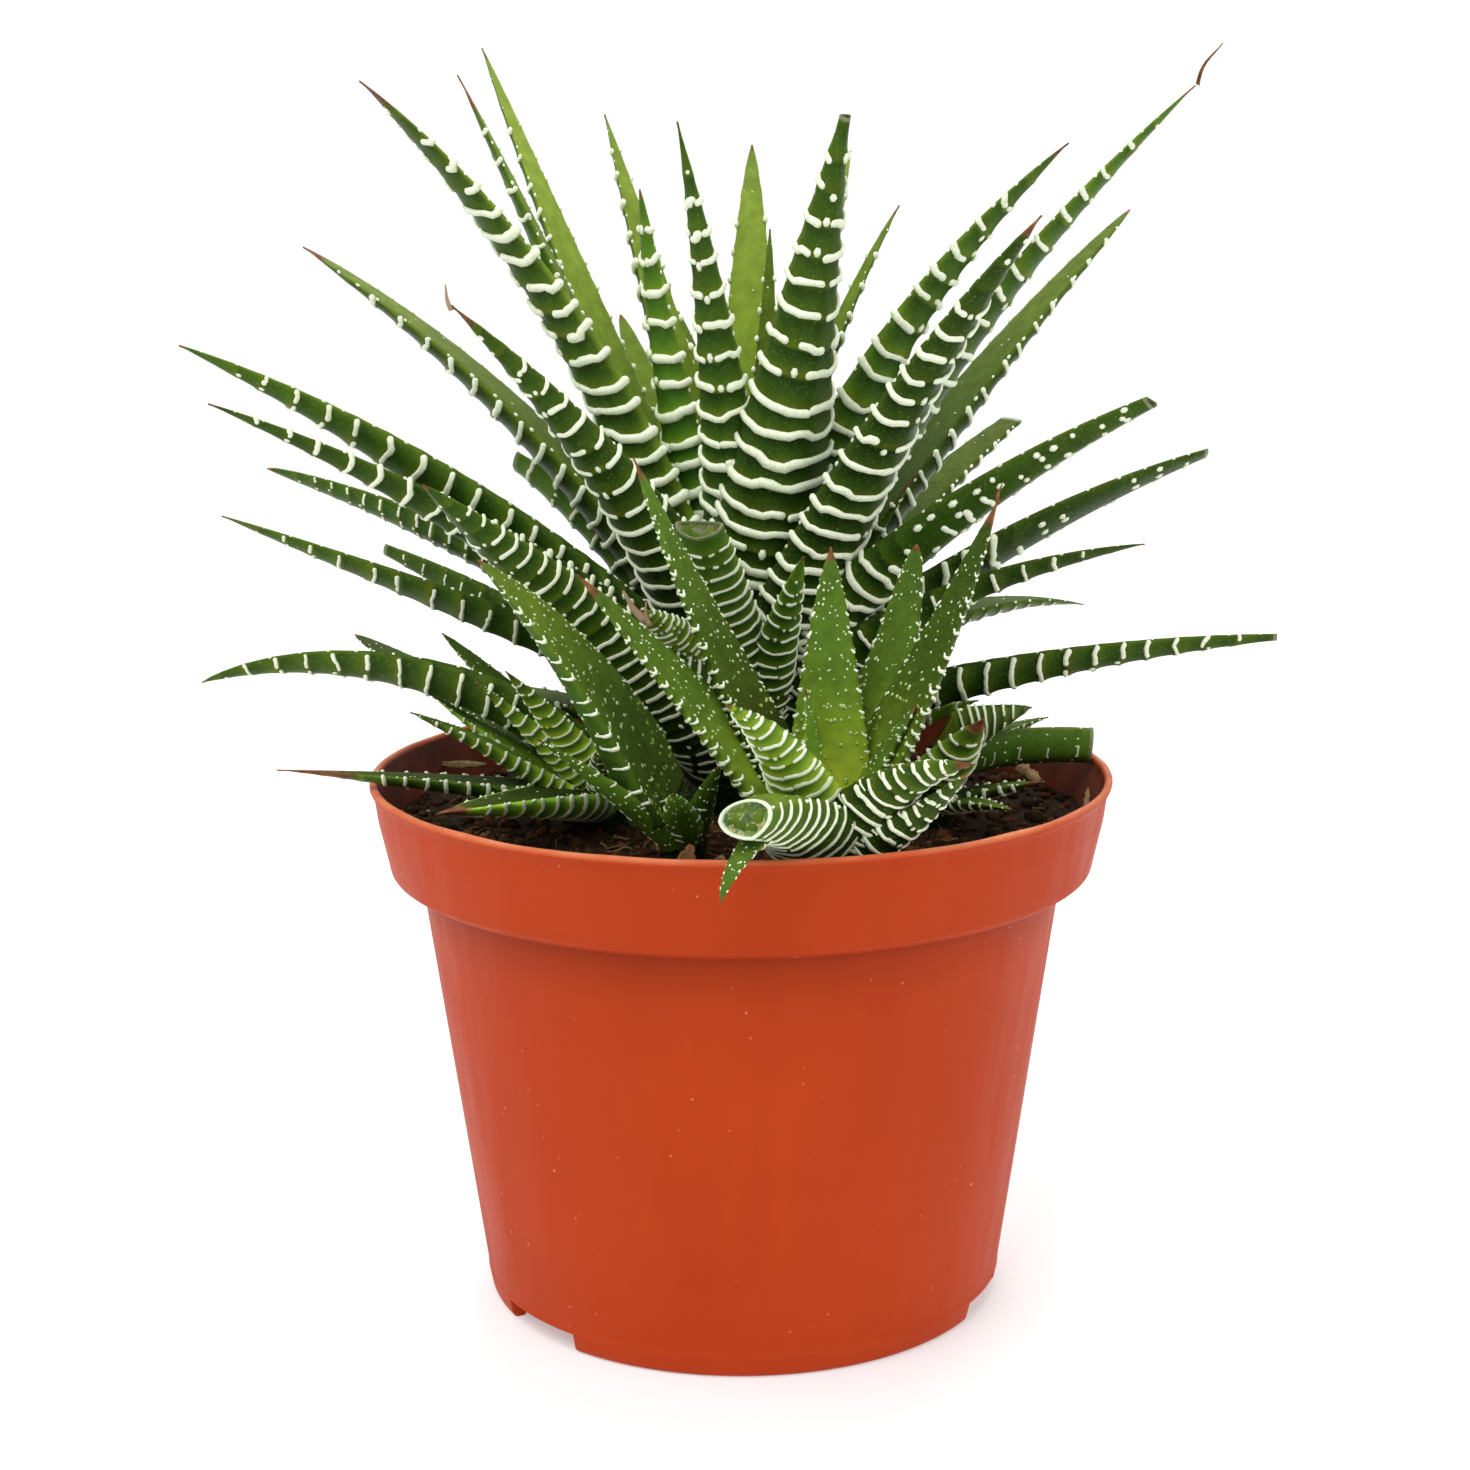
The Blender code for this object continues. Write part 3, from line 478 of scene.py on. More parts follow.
class Body:
    """Points, faces and two point attributes, gathered for one mesh.

    On green skin, look holds the place between two bands, the share of the length and 1 on the
    inner face, and tint holds how bright the green is, how dry the skin is, and its shade. Tint
    also holds how green and how shaded a band is, how deep and how moist a place on a cut face
    is, and how brown and how pale a crumb is.
    """

    def __init__(self):
        self.points, self.look, self.tint = [], [], []
        self.quads, self.triangles = [], []
        self.quad_slots, self.triangle_slots = [], []
        self.count = 0

    def add(self, points, look=(0.0, 0.0, 0.0), tint=(0.0, 0.0, 0.0)):
        points = np.asarray(points, float).reshape(-1, 3)
        start = self.count
        self.points.append(points)
        for store, value in ((self.look, look), (self.tint, tint)):
            store.append(np.broadcast_to(np.asarray(value, float).reshape(-1, 3), points.shape))
        self.count += len(points)
        return start

    def add_quads(self, quads, slot):
        quads = np.asarray(quads, int).reshape(-1, 4)
        self.quads.append(quads)
        self.quad_slots.append(np.full(len(quads), slot))

    def add_triangles(self, triangles, slot):
        triangles = np.asarray(triangles, int).reshape(-1, 3)
        self.triangles.append(triangles)
        self.triangle_slots.append(np.full(len(triangles), slot))

    def join_rings(self, starts, count, sides, slot):
        """Quads between each ring of points and the next, for one tube or for many alike."""
        first, ring, side = np.meshgrid(starts, np.arange(count - 1), np.arange(sides), indexing="ij")
        here = first + ring * sides + side
        beside = first + ring * sides + (side + 1) % sides
        self.add_quads(np.stack([here, beside, beside + sides, here + sides], -1), slot)

    def close_ring(self, starts, sides, slot, below=False):
        """A fan of triangles over a ring of points, or below it, for one tube or for many alike."""
        fan = np.arange(1, sides - 1)
        order = (fan * 0, fan + 1, fan) if below else (fan * 0, fan, fan + 1)
        self.add_triangles(np.reshape(starts, (-1, 1, 1)) + np.stack(order, -1), slot)

    def add_tube(self, rings, slot, look=(0.0, 0.0, 0.0), tint=(0.0, 0.0, 0.0), ends=2):
        """A tube through rings of points, with a fan at its last end, or at both."""
        rings = np.asarray(rings, float)
        count, sides = rings.shape[:2]
        start = self.add(rings, look, tint)
        self.join_rings(start, count, sides, slot)
        self.close_ring(start + (count - 1) * sides, sides, slot)
        if ends == 2:
            self.close_ring(start, sides, slot, below=True)

    def make(self, name, materials):
        """The object with all that was gathered."""
        points = np.concatenate(self.points) * MM
        faces = np.concatenate(self.quads).tolist() + np.concatenate(self.triangles).tolist()
        slots = np.concatenate(self.quad_slots + self.triangle_slots)
        mesh = bpy.data.meshes.new(name)
        mesh.from_pydata(points, [], faces)
        mesh.polygons.foreach_set("material_index", slots.astype(np.int32))
        mesh.shade_smooth()
        for title, values in (("look", self.look), ("tint", self.tint)):
            layer = mesh.attributes.new(title, "FLOAT_VECTOR", "POINT")
            layer.data.foreach_set("vector", np.concatenate(values).astype(np.float32).ravel())
        for made in materials:
            mesh.materials.append(made)
        piece = bpy.data.objects.new(name, mesh)
        bpy.context.scene.collection.objects.link(piece)
        return piece


# The material slots of a piece of leaves
FLESH, WHITE, CUT, GLOW = 0, 1, 2, 3


def add_flesh(body, leaf):
    """The leaf's skin: rings that follow its bands, outer face then inner face."""
    count = leaf.last
    numbers = [whole + part for whole in range(count) for part in PHASES] + [count]
    outer = np.linspace(-1, 1, OUTER_POINTS + 1)
    inner = np.linspace(1, -1, INNER_POINTS + 1)[1:-1]
    number, across = np.meshgrid(numbers, outer, indexing="ij")
    outside, _ = leaf.surface(number, across)
    number_in, across_in = np.meshgrid(numbers, inner, indexing="ij")
    inside, _ = leaf.surface(number_in, across_in, inner=True)
    rings = np.concatenate([outside, inside], 1)
    across_all = np.concatenate([across, across_in], 1)
    number_all = np.concatenate([number, number_in], 1)
    share = leaf.share(number_all, across_all)
    facing = np.concatenate([np.abs(across) ** 12, 1 - 0.3 * np.abs(across_in) ** 3], 1)
    phase = np.where(number_all < count, number_all - np.floor(number_all), 0.5)
    loose = np.clip((share - leaf.look.dotted) * 8 + (leaf.look.dotted == 0), 0, 1)
    phase = phase * (1 - loose) + 0.5 * loose
    look = np.stack([phase, share, facing], -1).reshape(rings.shape)
    tone = np.full_like(share, leaf.look.tone + leaf.draw.uniform(-0.06, 0.06))
    base, top = SHADES.get(leaf.row.name, (1.0, 1.0))
    shade = np.maximum(base + (top - base) * share, DARKEST_SHADE)
    shade[:, OUTER_POINTS + 1:] *= INNER_SHADES.get(leaf.row.name, 1.0)
    tint = np.stack([tone, leaf.withered(share), shade], -1).reshape(rings.shape)
    slot = GLOW if leaf.row.name in BACKLIT else FLESH
    body.add_tube(rings[:, ::-1], slot, look[:, ::-1], tint[:, ::-1])
    if leaf.row.cut:
        add_cut(body, leaf)


def add_cut(body, leaf):
    """The cut face at the leaf's end, sunk in the middle inside a thin skin."""
    top = float(leaf.last)
    across = np.linspace(-1, 1, OUTER_POINTS + 1)
    outer, _ = leaf.surface(np.full_like(across, top), across)
    back = across[::-1][1:-1]
    inner, _ = leaf.surface(np.full_like(back, top), back, inner=True)
    rim = np.concatenate([outer, inner])
    middle = rim.mean(0)
    way = leaf.frames(np.array([1.0]))[1][0]
    rows = []
    for reach, rise, _ in CUT_RINGS:
        ring = middle + (rim - middle) * reach + way * rise
        ring += way * (leaf.draw.uniform(-0.09, 0.12, (len(rim), 1)) * (reach < 0.9))
        rows.append(ring)
    depth = np.repeat([ring[2] for ring in CUT_RINGS], len(rim))
    tint = np.stack([depth, np.full_like(depth, leaf.row.name in MOIST_CUTS), depth * 0], -1)
    body.add_tube(np.array(rows), CUT, tint=tint, ends=1)


def add_ridge(body, at, normal, thick, swell, green=0.0, shadow=0.0):
    """A white ridge along points of the skin: a blobby tube, half sunk, with rounded ends."""
    along = unit(np.gradient(at, axis=0))
    first = at[0] - along[0] * np.array([[0.5], [0.34]]) * thick
    last = at[-1] + along[-1] * np.array([[0.34], [0.5]]) * thick
    at = np.concatenate([first, at, last])
    along, normal = (np.concatenate([a[:1], a[:1], a, a[-1:], a[-1:]]) for a in (along, normal))
    swell = np.concatenate([[0.35, 0.85], swell, [0.85, 0.35]])
    lateral = unit(np.cross(along, normal))
    angles = turns(6)[:, None]
    radius = (thick / 2 * swell)[:, None, None]
    rise = np.sin(angles) * 0.64 + 0.08
    rings = at[:, None] + radius * (lateral[:, None] * np.cos(angles) * 1.08 + normal[:, None] * rise)
    body.add_tube(rings, WHITE, tint=(green, shadow, 0.0))


def add_strip(body, leaf, number, start, end, thick):
    """One white band from one place across to another, grown together from lumps."""
    share = leaf.share(np.array([number]), np.array([0.0]))
    reach = (end - start) * leaf.size(share)[0][0] * 1.2
    pieces = max(3, int(reach / max(0.85 * thick, 0.55)) + 3)
    places = np.linspace(start, end, pieces)
    lumps = max(2, int(reach / (1.9 * thick)) + 1)
    lump = np.minimum(np.linspace(0, lumps, pieces) + leaf.draw.uniform(-0.2, 0.2, pieces), lumps - 0.01)
    lump = np.maximum(lump, 0).astype(int)
    rough = 0.4 if leaf.look.tube > 1.0 else 0.22
    step = leaf.draw.uniform(-rough, rough, lumps)[lump] * thick
    swell = leaf.draw.uniform(0.86, 1.18, lumps)[lump] + leaf.draw.uniform(-0.07, 0.07, pieces)
    swell[[0, -1]] *= 1.08
    at, normal = leaf.surface(number + step / max(leaf.pitch(number), 1.0), places)
    shadow = (1 - 0.7 * leaf.look.tone) * np.clip(0.85 - 3.2 * share[0] * (1 - leaf.row.cut), 0, 1)
    add_ridge(body, at, normal, thick, swell, leaf.green(share[0]), shadow)


def add_dots(body, at, normal, way, size, stretch=1.0, green=0.0):
    """Small white domes on the skin, all of one form."""
    angles = turns(6)[:, None]
    side = unit(np.cross(way, normal))
    rings = []
    for reach, rise in ((1.0, -0.1), (0.62, 0.5)):
        spread = (side[:, None] * np.cos(angles) + way[:, None] * (stretch * np.sin(angles))) * reach
        rings.append(at[:, None] + (spread + normal[:, None] * rise) * size[:, None, None])
    rings = np.stack(rings, 1)
    count, rows, sides = rings.shape[:3]
    green = np.broadcast_to(np.reshape(green, (-1, 1, 1)), (count, rows, sides))
    start = body.add(rings, tint=np.stack([green, green * 0, green * 0], -1))
    starts = start + np.arange(count) * rows * sides
    body.join_rings(starts, rows, sides, WHITE)
    body.close_ring(starts + (rows - 1) * sides, sides, WHITE)
    body.close_ring(starts, sides, WHITE, below=True)


def band_parts(leaf, share):
    """The stretches across the leaf that one band covers; narrow ones are dots."""
    draw = leaf.draw
    middle = draw.uniform(-0.3, 0.3)
    choice = draw.random()
    share += draw.uniform(-0.05, 0.05)
    if share < 0.55:
        if choice > leaf.broken:
            return [(-1.0, 1.0)]
        if choice > leaf.broken * 0.25:
            return [(-1.0, middle * 0.5 - 0.04), (middle * 0.5 + 0.08, 1.0)]
        return [(-1.0, middle - 0.2), (middle - 0.03, middle + 0.03), (middle + 0.22, 1.0)]
    if share < 0.85:
        if choice < 0.55:
            return [(-1.0, middle - 0.24), (middle - 0.03, middle + 0.03), (middle + 0.26, 1.0)]
        if choice < 0.8:
            return [(-1.0, middle - 0.14), (middle + 0.16, 1.0)]
        return [(-1.0, -0.5), (-0.14, 0.2), (0.55, 1.0)]
    if share < 0.91:
        return [(-1.0, -0.62), (middle - 0.02, middle + 0.02), (0.66, 1.0)]
    return [(middle - 0.02, middle + 0.02)]


def spot_parts(leaf, share):
    """Loose dots and a few short dashes, on a leaf that has no whole bands."""
    draw = leaf.draw
    places = np.arange(-0.85, 0.86, 0.3) + draw.uniform(-0.1, 0.1, 6)
    places = places[draw.random(6) < (0.5 if leaf.look.tube > 1 else 0.62)]
    long = share < 0.6 and draw.random() < 0.6
    parts = [(place - 0.02, place + 0.02) for place in places]
    return parts + [(0.02, draw.uniform(0.2, 0.4))] * long


def add_bands(body, leaf):
    """Every band of a leaf, whole near its base and broken into dots near its tip."""
    for number, share in enumerate(leaf.bands, 1):
        half = leaf.size(np.array([share]))[0][0]
        if half < LEAST_BAND_HALF or share > 1 - leaf.dry:
            continue
        thick = leaf.look.tube * (0.72 + 0.28 * min(1.0, half / 5)) * leaf.draw.uniform(0.88, 1.1)
        thick = min(thick, half * 0.9, 0.48 * leaf.pitch(number - 1))
        parts = spot_parts if share > leaf.look.dotted else band_parts
        reach = 0.86 if leaf.look.tooth > WRAPPED_TOOTH else leaf.look.reach
        for start, end in parts(leaf, share * (1 - leaf.row.cut)):
            start, end = start * reach, end * reach
            if end - start > 0.06:
                slip = leaf.draw.uniform(-0.12, 0.12) if start > -0.8 else 0.0
                add_strip(body, leaf, number + slip, start, end, thick)
            else:
                place = np.array([(start + end) / 2])
                at, normal = leaf.surface(np.array([number + leaf.draw.uniform(-0.2, 0.2)]), place)
                way = leaf.frames(np.array([share]))[1]
                add_dots(body, at, normal, way, np.array([thick * 0.5]), leaf.draw.uniform(1.1, 1.9))


def add_teeth(body, leaf):
    """Small white teeth along both edges, or crescents that wrap round them."""
    wrapped = leaf.look.tooth > WRAPPED_TOOTH
    count = int(leaf.length * 0.9 / (CRESCENT_GAP if wrapped else TOOTH_GAP))
    for edge in (-1.0, 1.0):
        share = np.linspace(0.1, 0.97 - leaf.dry, count) + leaf.draw.uniform(-0.2, 0.2, count) / count
        number = leaf.number(share.clip(0.03, 0.99 - leaf.dry))
        narrow = np.clip(leaf.size(share)[0] / 2.5, 0.5, 1)
        size = leaf.look.tooth * leaf.draw.uniform(0.8, 1.25, count) * narrow
        if wrapped:
            for place, thick in zip(number, size):
                add_crescent(body, leaf, place, edge, thick)
            continue
        across = np.full_like(number, edge * 0.98)
        at, normal = leaf.surface(number, across)
        add_dots(body, at, normal, leaf.frames(leaf.share(number, across))[1], size, 1.6)


def add_crescent(body, leaf, number, edge, thick):
    """A short ridge from the outer face round the edge, its ends bent towards the tip."""
    bend = np.array([1.5, 0.45, 0.0]) * thick / max(leaf.pitch(number), 0.8)
    outer, normal = leaf.surface(number + bend, edge * np.array([0.72, 0.88, 0.99]))
    inner, up = leaf.surface(number + bend[1::-1], edge * np.array([0.9, 0.76]), inner=True)
    normal = np.concatenate([normal, up])
    line = np.concatenate([outer, inner])
    swell = np.array([0.7, 1.05, 1.2, 1.0, 0.65])
    add_ridge(body, line, normal, thick * 1.15, swell, leaf.green(leaf.straight(number)) * 0.4)


def add_inner_dots(body, leaf):
    """Pale dots in loose rows on the inner face."""
    area = leaf.length * leaf.row.width * 0.6 / 100
    count = int(leaf.look.dots * area)
    share = 0.07 + (0.87 - leaf.dry) * leaf.draw.random(count) ** 1.35
    number = leaf.number(share)
    rowed = (share < 0.5) & (leaf.draw.random(count) < 0.85)
    number = np.where(rowed, np.round(number) + leaf.draw.normal(0, 0.06, count), number).clip(0.3)
    across = leaf.draw.integers(-3, 4, count) * 0.25 + leaf.draw.normal(0, 0.07, count)
    at, normal = leaf.surface(number, across, inner=True)
    way = leaf.frames(share)[1]
    size = leaf.draw.uniform(0.11, 0.25, count) * (1.2 - 0.45 * share) * np.where(rowed, 1.25, 1.0)
    green = np.clip(1.35 - 1.5 * share + leaf.draw.uniform(-0.3, 0.2, count), 0, 1)
    add_dots(body, at, normal, way, size, 1.2, green)


def add_thread(body, start, end, thick, bend, pale):
    """A dry thread that a tip has withered to."""
    start, end = np.array(start, float), np.array(end, float)
    way = unit(end - start)
    side = unit(np.cross(way, (0.3, 1.0, 0.2)))
    up = np.cross(side, way)
    steps = np.linspace(0, 1, 9)[:, None]
    line = start + (end - start) * steps + side * bend * np.sin(steps * 4.2)
    angles = turns(5)[:, None]
    radius = thick / 2 * (1 - 0.75 * steps[..., None])
    rings = line[:, None] + radius * (side * np.cos(angles) + up * np.sin(angles))
    body.add_tube(rings, FLESH, look=(0.5, 1.0, 1.0), tint=(2.0 if pale else 0.0, 1.0, 1.0))


def add_stem(body, rosette):
    """The stem and the heart that the leaves grow from."""
    rings = [np.array([*rosette.stem, height]) + circle(24) * max(radius, 0.3)
             for radius, height in rosette.outline]
    body.add_tube(rings, FLESH, look=(0.9, 0.0, 0.0), tint=(0.0, 0.0, 1.0))


def make_leaves(materials):
    """One piece for each ring of leaves of the main rosette, and one for each offset."""
    seed = FIRST_SEED
    for rosette in ROSETTES:
        bodies = {}
        for row in rosette.leaves:
            ring = row.name.rsplit("_", 1)[0]
            look = LOOKS.get(row.name, LOOKS[ring])
            body = bodies.setdefault(ring, Body())
            seed += 1
            leaf = Leafwork(row, rosette.stem, look, seed)
            add_flesh(body, leaf)
            add_bands(body, leaf)
            add_teeth(body, leaf)
            add_inner_dots(body, leaf)
            for thread in THREADS.get(row.name, ()):
                add_thread(body, *thread)
        add_stem(next(iter(bodies.values())), rosette)
        for ring, body in bodies.items():
            piece = body.make("leaves_" + ring, materials)
            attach(piece, "root")
            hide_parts(rosette.name)


class Shader:
    """A material's nodes, added and joined in few words."""

    def __init__(self, name):
        self.material = bpy.data.materials.new(name)
        self.material.use_nodes = True
        self.tree = self.material.node_tree
        self.surface = self.tree.nodes["Principled BSDF"]

    def node(self, kind, inputs=(), **settings):
        made = self.tree.nodes.new("ShaderNode" + kind)
        for key, value in settings.items():
            setattr(made, key, value)
        for key, value in dict(inputs).items():
            self.put(made.inputs[key], value)
        return made

    def put(self, socket, value):
        """A link where the value is another node's socket, and a plain value otherwise."""
        if isinstance(value, bpy.types.NodeSocket):
            self.tree.links.new(value, socket)
        elif isinstance(value, tuple) and len(value) == 3 and socket.type == "RGBA":
            socket.default_value = (*value, 1.0)
        else:
            socket.default_value = value

    def set(self, **inputs):
        """Inputs of the surface, their names written with _ for each space."""
        for key, value in inputs.items():
            self.put(self.surface.inputs[key.replace("_", " ")], value)

    def places(self):
        return self.node("TexCoord").outputs["Object"]

    def attribute(self, name):
        """The three values of a point attribute."""
        read = self.node("Attribute", attribute_name=name)
        parts = self.node("SeparateXYZ", {"Vector": read.outputs["Vector"]})
        return parts.outputs["X"], parts.outputs["Y"], parts.outputs["Z"]

    def math(self, operation, *values):
        made = self.node("Math", operation=operation)
        for number, value in enumerate(values):
            self.put(made.inputs[number], value)
        return made.outputs[0]

    def ramp(self, value, *stops):
        made = self.node("ValToRGB", {"Fac": value})
        band = made.color_ramp
        while len(band.elements) < len(stops):
            band.elements.new(0.5)
        for element, (place, colour) in zip(band.elements, stops):
            element.position = place
            element.color = (*colour, 1.0) if isinstance(colour, tuple) else (colour, colour, colour, 1.0)
        return made.outputs["Color"]

    def mix(self, share, first, second, blend="MIX"):
        made = self.node("MixRGB", {"Fac": share, "Color1": first, "Color2": second}, blend_type=blend)
        return made.outputs["Color"]

    def noise(self, scale, detail=3.0, rough=0.55, places=None):
        inputs = {"Vector": places or self.places(), "Scale": scale, "Detail": detail, "Roughness": rough}
        return self.node("TexNoise", inputs).outputs["Fac"]

    def bump(self, height, strength, distance):
        inputs = {"Height": height, "Strength": strength, "Distance": distance}
        self.set(Normal=self.node("Bump", inputs).outputs["Normal"])


def leaf_flesh(name, glow):
    """Green skin: olive over each band, dark under the next, paler on the inner face; painted shade near the
    base.
    """
    shader = Shader(name)
    phase, share, facing = shader.attribute("look")
    tone, dry, shade = shader.attribute("tint")
    outer = shader.ramp(phase, (0.06, (0.080, 0.108, 0.004)), (0.25, (0.038, 0.086, 0.005)),
                        (0.58, (0.017, 0.054, 0.005)), (0.92, (0.006, 0.024, 0.003)))
    # Painted shade: towards its base the outer face darkens, as in the shade between crowded leaves.
    deep = shader.ramp(phase, (0.05, (0.026, 0.032, 0.004)), (0.3, (0.010, 0.028, 0.004)),
                       (0.9, (0.003, 0.011, 0.002)))
    outer = shader.mix(shader.ramp(share, (0.10, 0.85), (0.45, 0.0)), outer, deep)
    outer = shader.mix(shader.ramp(share, (0.45, 0.0), (0.95, 0.65)), outer, (0.045, 0.092, 0.009))
    if glow:
        inner = shader.ramp(share, (0.0, (0.06, 0.11, 0.008)), (0.35, (0.12, 0.20, 0.015)),
                            (0.6, (0.20, 0.29, 0.03)), (0.85, (0.24, 0.33, 0.045)), (1.0, (0.19, 0.27, 0.05)))
    else:
        inner = shader.ramp(share, (0.0, (0.012, 0.032, 0.004)), (0.35, (0.032, 0.066, 0.008)),
                            (0.8, (0.09, 0.14, 0.012)), (1.0, (0.085, 0.125, 0.015)))
    bright_outer = shader.ramp(phase, (0.06, (0.24, 0.33, 0.02)), (0.5, (0.11, 0.21, 0.014)),
                               (0.95, (0.04, 0.10, 0.008)))
    outer = shader.mix(tone, outer, bright_outer)
    bright_inner = shader.ramp(share, (0.0, (0.42, 0.50, 0.035)), (0.25, (0.22, 0.32, 0.02)),
                               (0.5, (0.075, 0.15, 0.012)), (1.0, (0.045, 0.11, 0.014)))
    inner = shader.mix(tone, inner, bright_inner)
    green = shader.mix(facing, outer, inner)
    mottle = shader.ramp(shader.noise(420.0, 5.0), (0.3, 0.72), (0.7, 1.25))
    green = shader.mix(0.75, green, mottle, "MULTIPLY")
    green = shader.mix(1.0, green, shade, "MULTIPLY")
    flecks = shader.ramp(shader.noise(2400.0, 2.0), (0.58, 0.0), (0.72, 0.4))
    green = shader.mix(flecks, green, (0.16, 0.26, 0.04))
    brown = shader.ramp(shader.noise(700.0, 4.0), (0.3, (0.07, 0.02, 0.012)), (0.6, (0.22, 0.085, 0.035)),
                        (0.8, (0.42, 0.27, 0.14)))
    brown = shader.mix(shader.math("GREATER_THAN", tone, 1.5), brown, (0.36, 0.24, 0.15))
    start = shader.math("ADD", dry, shader.math("MULTIPLY", shader.noise(900.0), 0.5))
    withered = shader.ramp(start, (0.32, 0.0), (0.62, 1.0))
    green = shader.mix(withered, green, brown)
    gloss = shader.ramp(shader.noise(1500.0), (0.3, 0.32), (0.7, 0.48))
    shader.set(Base_Color=green, Roughness=shader.mix(facing, gloss, (0.75, 0.75, 0.75)))
    shader.set(Specular_IOR_Level=0.12, Specular_Tint=(0.95, 1.0, 0.55))
    shader.set(Subsurface_Weight=0.1, Subsurface_Radius=(0.4, 1.0, 0.2), Subsurface_Scale=0.0015)
    shader.bump(shader.noise(3200.0, 4.0), 0.22, 0.0003)
    return shader.material


def band_white():
    """The thick white skin of bands, dots and teeth, a little green in its hollows."""
    shader = Shader("band_white")
    grain = shader.noise(2200.0, 3.0)
    green, shadow = shader.attribute("tint")[:2]
    white = shader.ramp(grain, (0.25, (0.68, 0.80, 0.45)), (0.5, (0.90, 0.97, 0.72)),
                        (0.8, (0.95, 0.99, 0.84)))
    white = shader.mix(shadow, white, (0.12, 0.15, 0.06))
    shader.set(Base_Color=shader.mix(green, white, (0.26, 0.42, 0.05)))
    shader.set(Roughness=shader.ramp(grain, (0.3, 0.36), (0.7, 0.55)))
    shader.set(Subsurface_Weight=0.15, Subsurface_Radius=(1.0, 1.0, 0.7), Subsurface_Scale=0.0008)
    shader.bump(shader.noise(4200.0, 3.0), 0.25, 0.0003)
    return shader.material


def cut_flesh():
    """A cut end: pale skin round it, and dried olive flesh inside."""
    shader = Shader("cut_flesh")
    depth, fresh = shader.attribute("tint")[:2]
    dried = shader.ramp(shader.noise(900.0, 5.0), (0.3, (0.035, 0.045, 0.012)), (0.55, (0.12, 0.13, 0.035)),
                        (0.75, (0.26, 0.24, 0.10)))
    moist = shader.ramp(shader.noise(420.0, 4.0), (0.34, (0.02, 0.06, 0.008)), (0.46, (0.08, 0.16, 0.02)),
                        (0.51, (0.42, 0.38, 0.13)), (0.56, (0.09, 0.18, 0.025)), (0.72, (0.24, 0.33, 0.10)))
    inside = shader.mix(fresh, dried, moist)
    rim = shader.mix(fresh, (0.16, 0.20, 0.08), (0.78, 0.88, 0.64))
    shader.set(Base_Color=shader.mix(depth, rim, inside))
    shader.set(Roughness=shader.ramp(shader.noise(600.0), (0.3, 0.15), (0.7, 0.5)))
    shader.bump(shader.noise(1100.0, 5.0), 0.6, 0.0006)
    return shader.material


def inside_wall(shader, places, height):
    """1 on the inner face of the collar above the peat, darkened there by soil stain and painted shade, and 0
    elsewhere.
    """
    flat = shader.node("Mapping", {"Vector": places, "Scale": (1.0, 1.0, 0.0)}).outputs["Vector"]
    far = shader.node("VectorMath", {0: flat}, operation="LENGTH").outputs["Value"]
    least, most = STAIN_AND_SHADE_HEIGHTS
    tests = (shader.math("LESS_THAN", far, shader.math("MULTIPLY_ADD", height, *STAIN_AND_SHADE_RADIUS)),
             shader.math("LESS_THAN", height, most), shader.math("GREATER_THAN", height, least))
    return shader.math("MULTIPLY", shader.math("MULTIPLY", *tests[:2]), tests[2])


def pot_plastic():
    """Orange plastic with fine dust, faint scuffs, painted shade under the collar and a painted highlight on
    the lip.
    """
    shader = Shader("pot_plastic")
    places = shader.places()
    streak = shader.node("Mapping", {"Vector": places, "Scale": (1.0, 1.0, 0.12)}).outputs["Vector"]
    base = shader.ramp(shader.noise(35.0, 3.0, places=places), (0.3, (0.42, 0.040, 0.004)),
                       (0.7, (0.46, 0.046, 0.005)))
    scuffs = shader.ramp(shader.noise(160.0, 5.0, places=streak), (0.35, 0.8), (0.7, 1.1))
    base = shader.mix(0.12, base, scuffs, "MULTIPLY")
    speck = shader.node("TexVoronoi", {"Vector": places, "Scale": 420.0}).outputs["Distance"]
    dust = shader.math("MULTIPLY", shader.ramp(speck, (0.05, 1.0), (0.11, 0.0)),
                       shader.ramp(shader.noise(90.0, 3.0), (0.52, 0.0), (0.7, 0.75)))
    base = shader.mix(dust, base, (0.75, 0.42, 0.28))
    dark = shader.ramp(shader.noise(1300.0, 2.0), (0.72, 0.0), (0.8, 0.4))
    base = shader.mix(dark, base, (0.25, 0.03, 0.012))
    height = shader.node("SeparateXYZ", {"Vector": places}).outputs["Z"]
    # Soil stain and painted shade: a patchy dark brown on the collar's inner face above the peat.
    base = shader.mix(inside_wall(shader, places, height), base, shader.ramp(
        shader.noise(110.0, 5.0), (0.3, (0.10, 0.022, 0.008)), (0.7, (0.24, 0.045, 0.015))))
    height = shader.math("MULTIPLY", height, 10.0)
    # Painted shade: the wall darkens just under the collar's overhang.
    collar_shade = shader.ramp(height, (0.59, 1.0), (0.65, 0.88), (0.672, 0.68), (0.684, 1.0))
    base = shader.mix(1.0, base, collar_shade, "MULTIPLY")
    # Painted highlight: a pale, patchy line along the top of the lip.
    lip_highlight = shader.math("MULTIPLY", shader.ramp(height, (0.817, 0.0), (0.823, 1.0)),
                       shader.ramp(shader.noise(120.0, 4.0), (0.35, 0.3), (0.65, 0.75)))
    base = shader.mix(lip_highlight, base, (0.72, 0.26, 0.12))
    rough = shader.ramp(shader.noise(240.0, 5.0, places=streak), (0.3, 0.42), (0.7, 0.58))
    shader.set(Base_Color=base, Roughness=rough, Specular_IOR_Level=0.1)
    shader.set(Subsurface_Weight=0.03, Subsurface_Radius=(1.0, 0.2, 0.1), Subsurface_Scale=0.001)
    shader.bump(shader.noise(1800.0, 3.0), 0.08, 0.0003)
    return shader.material


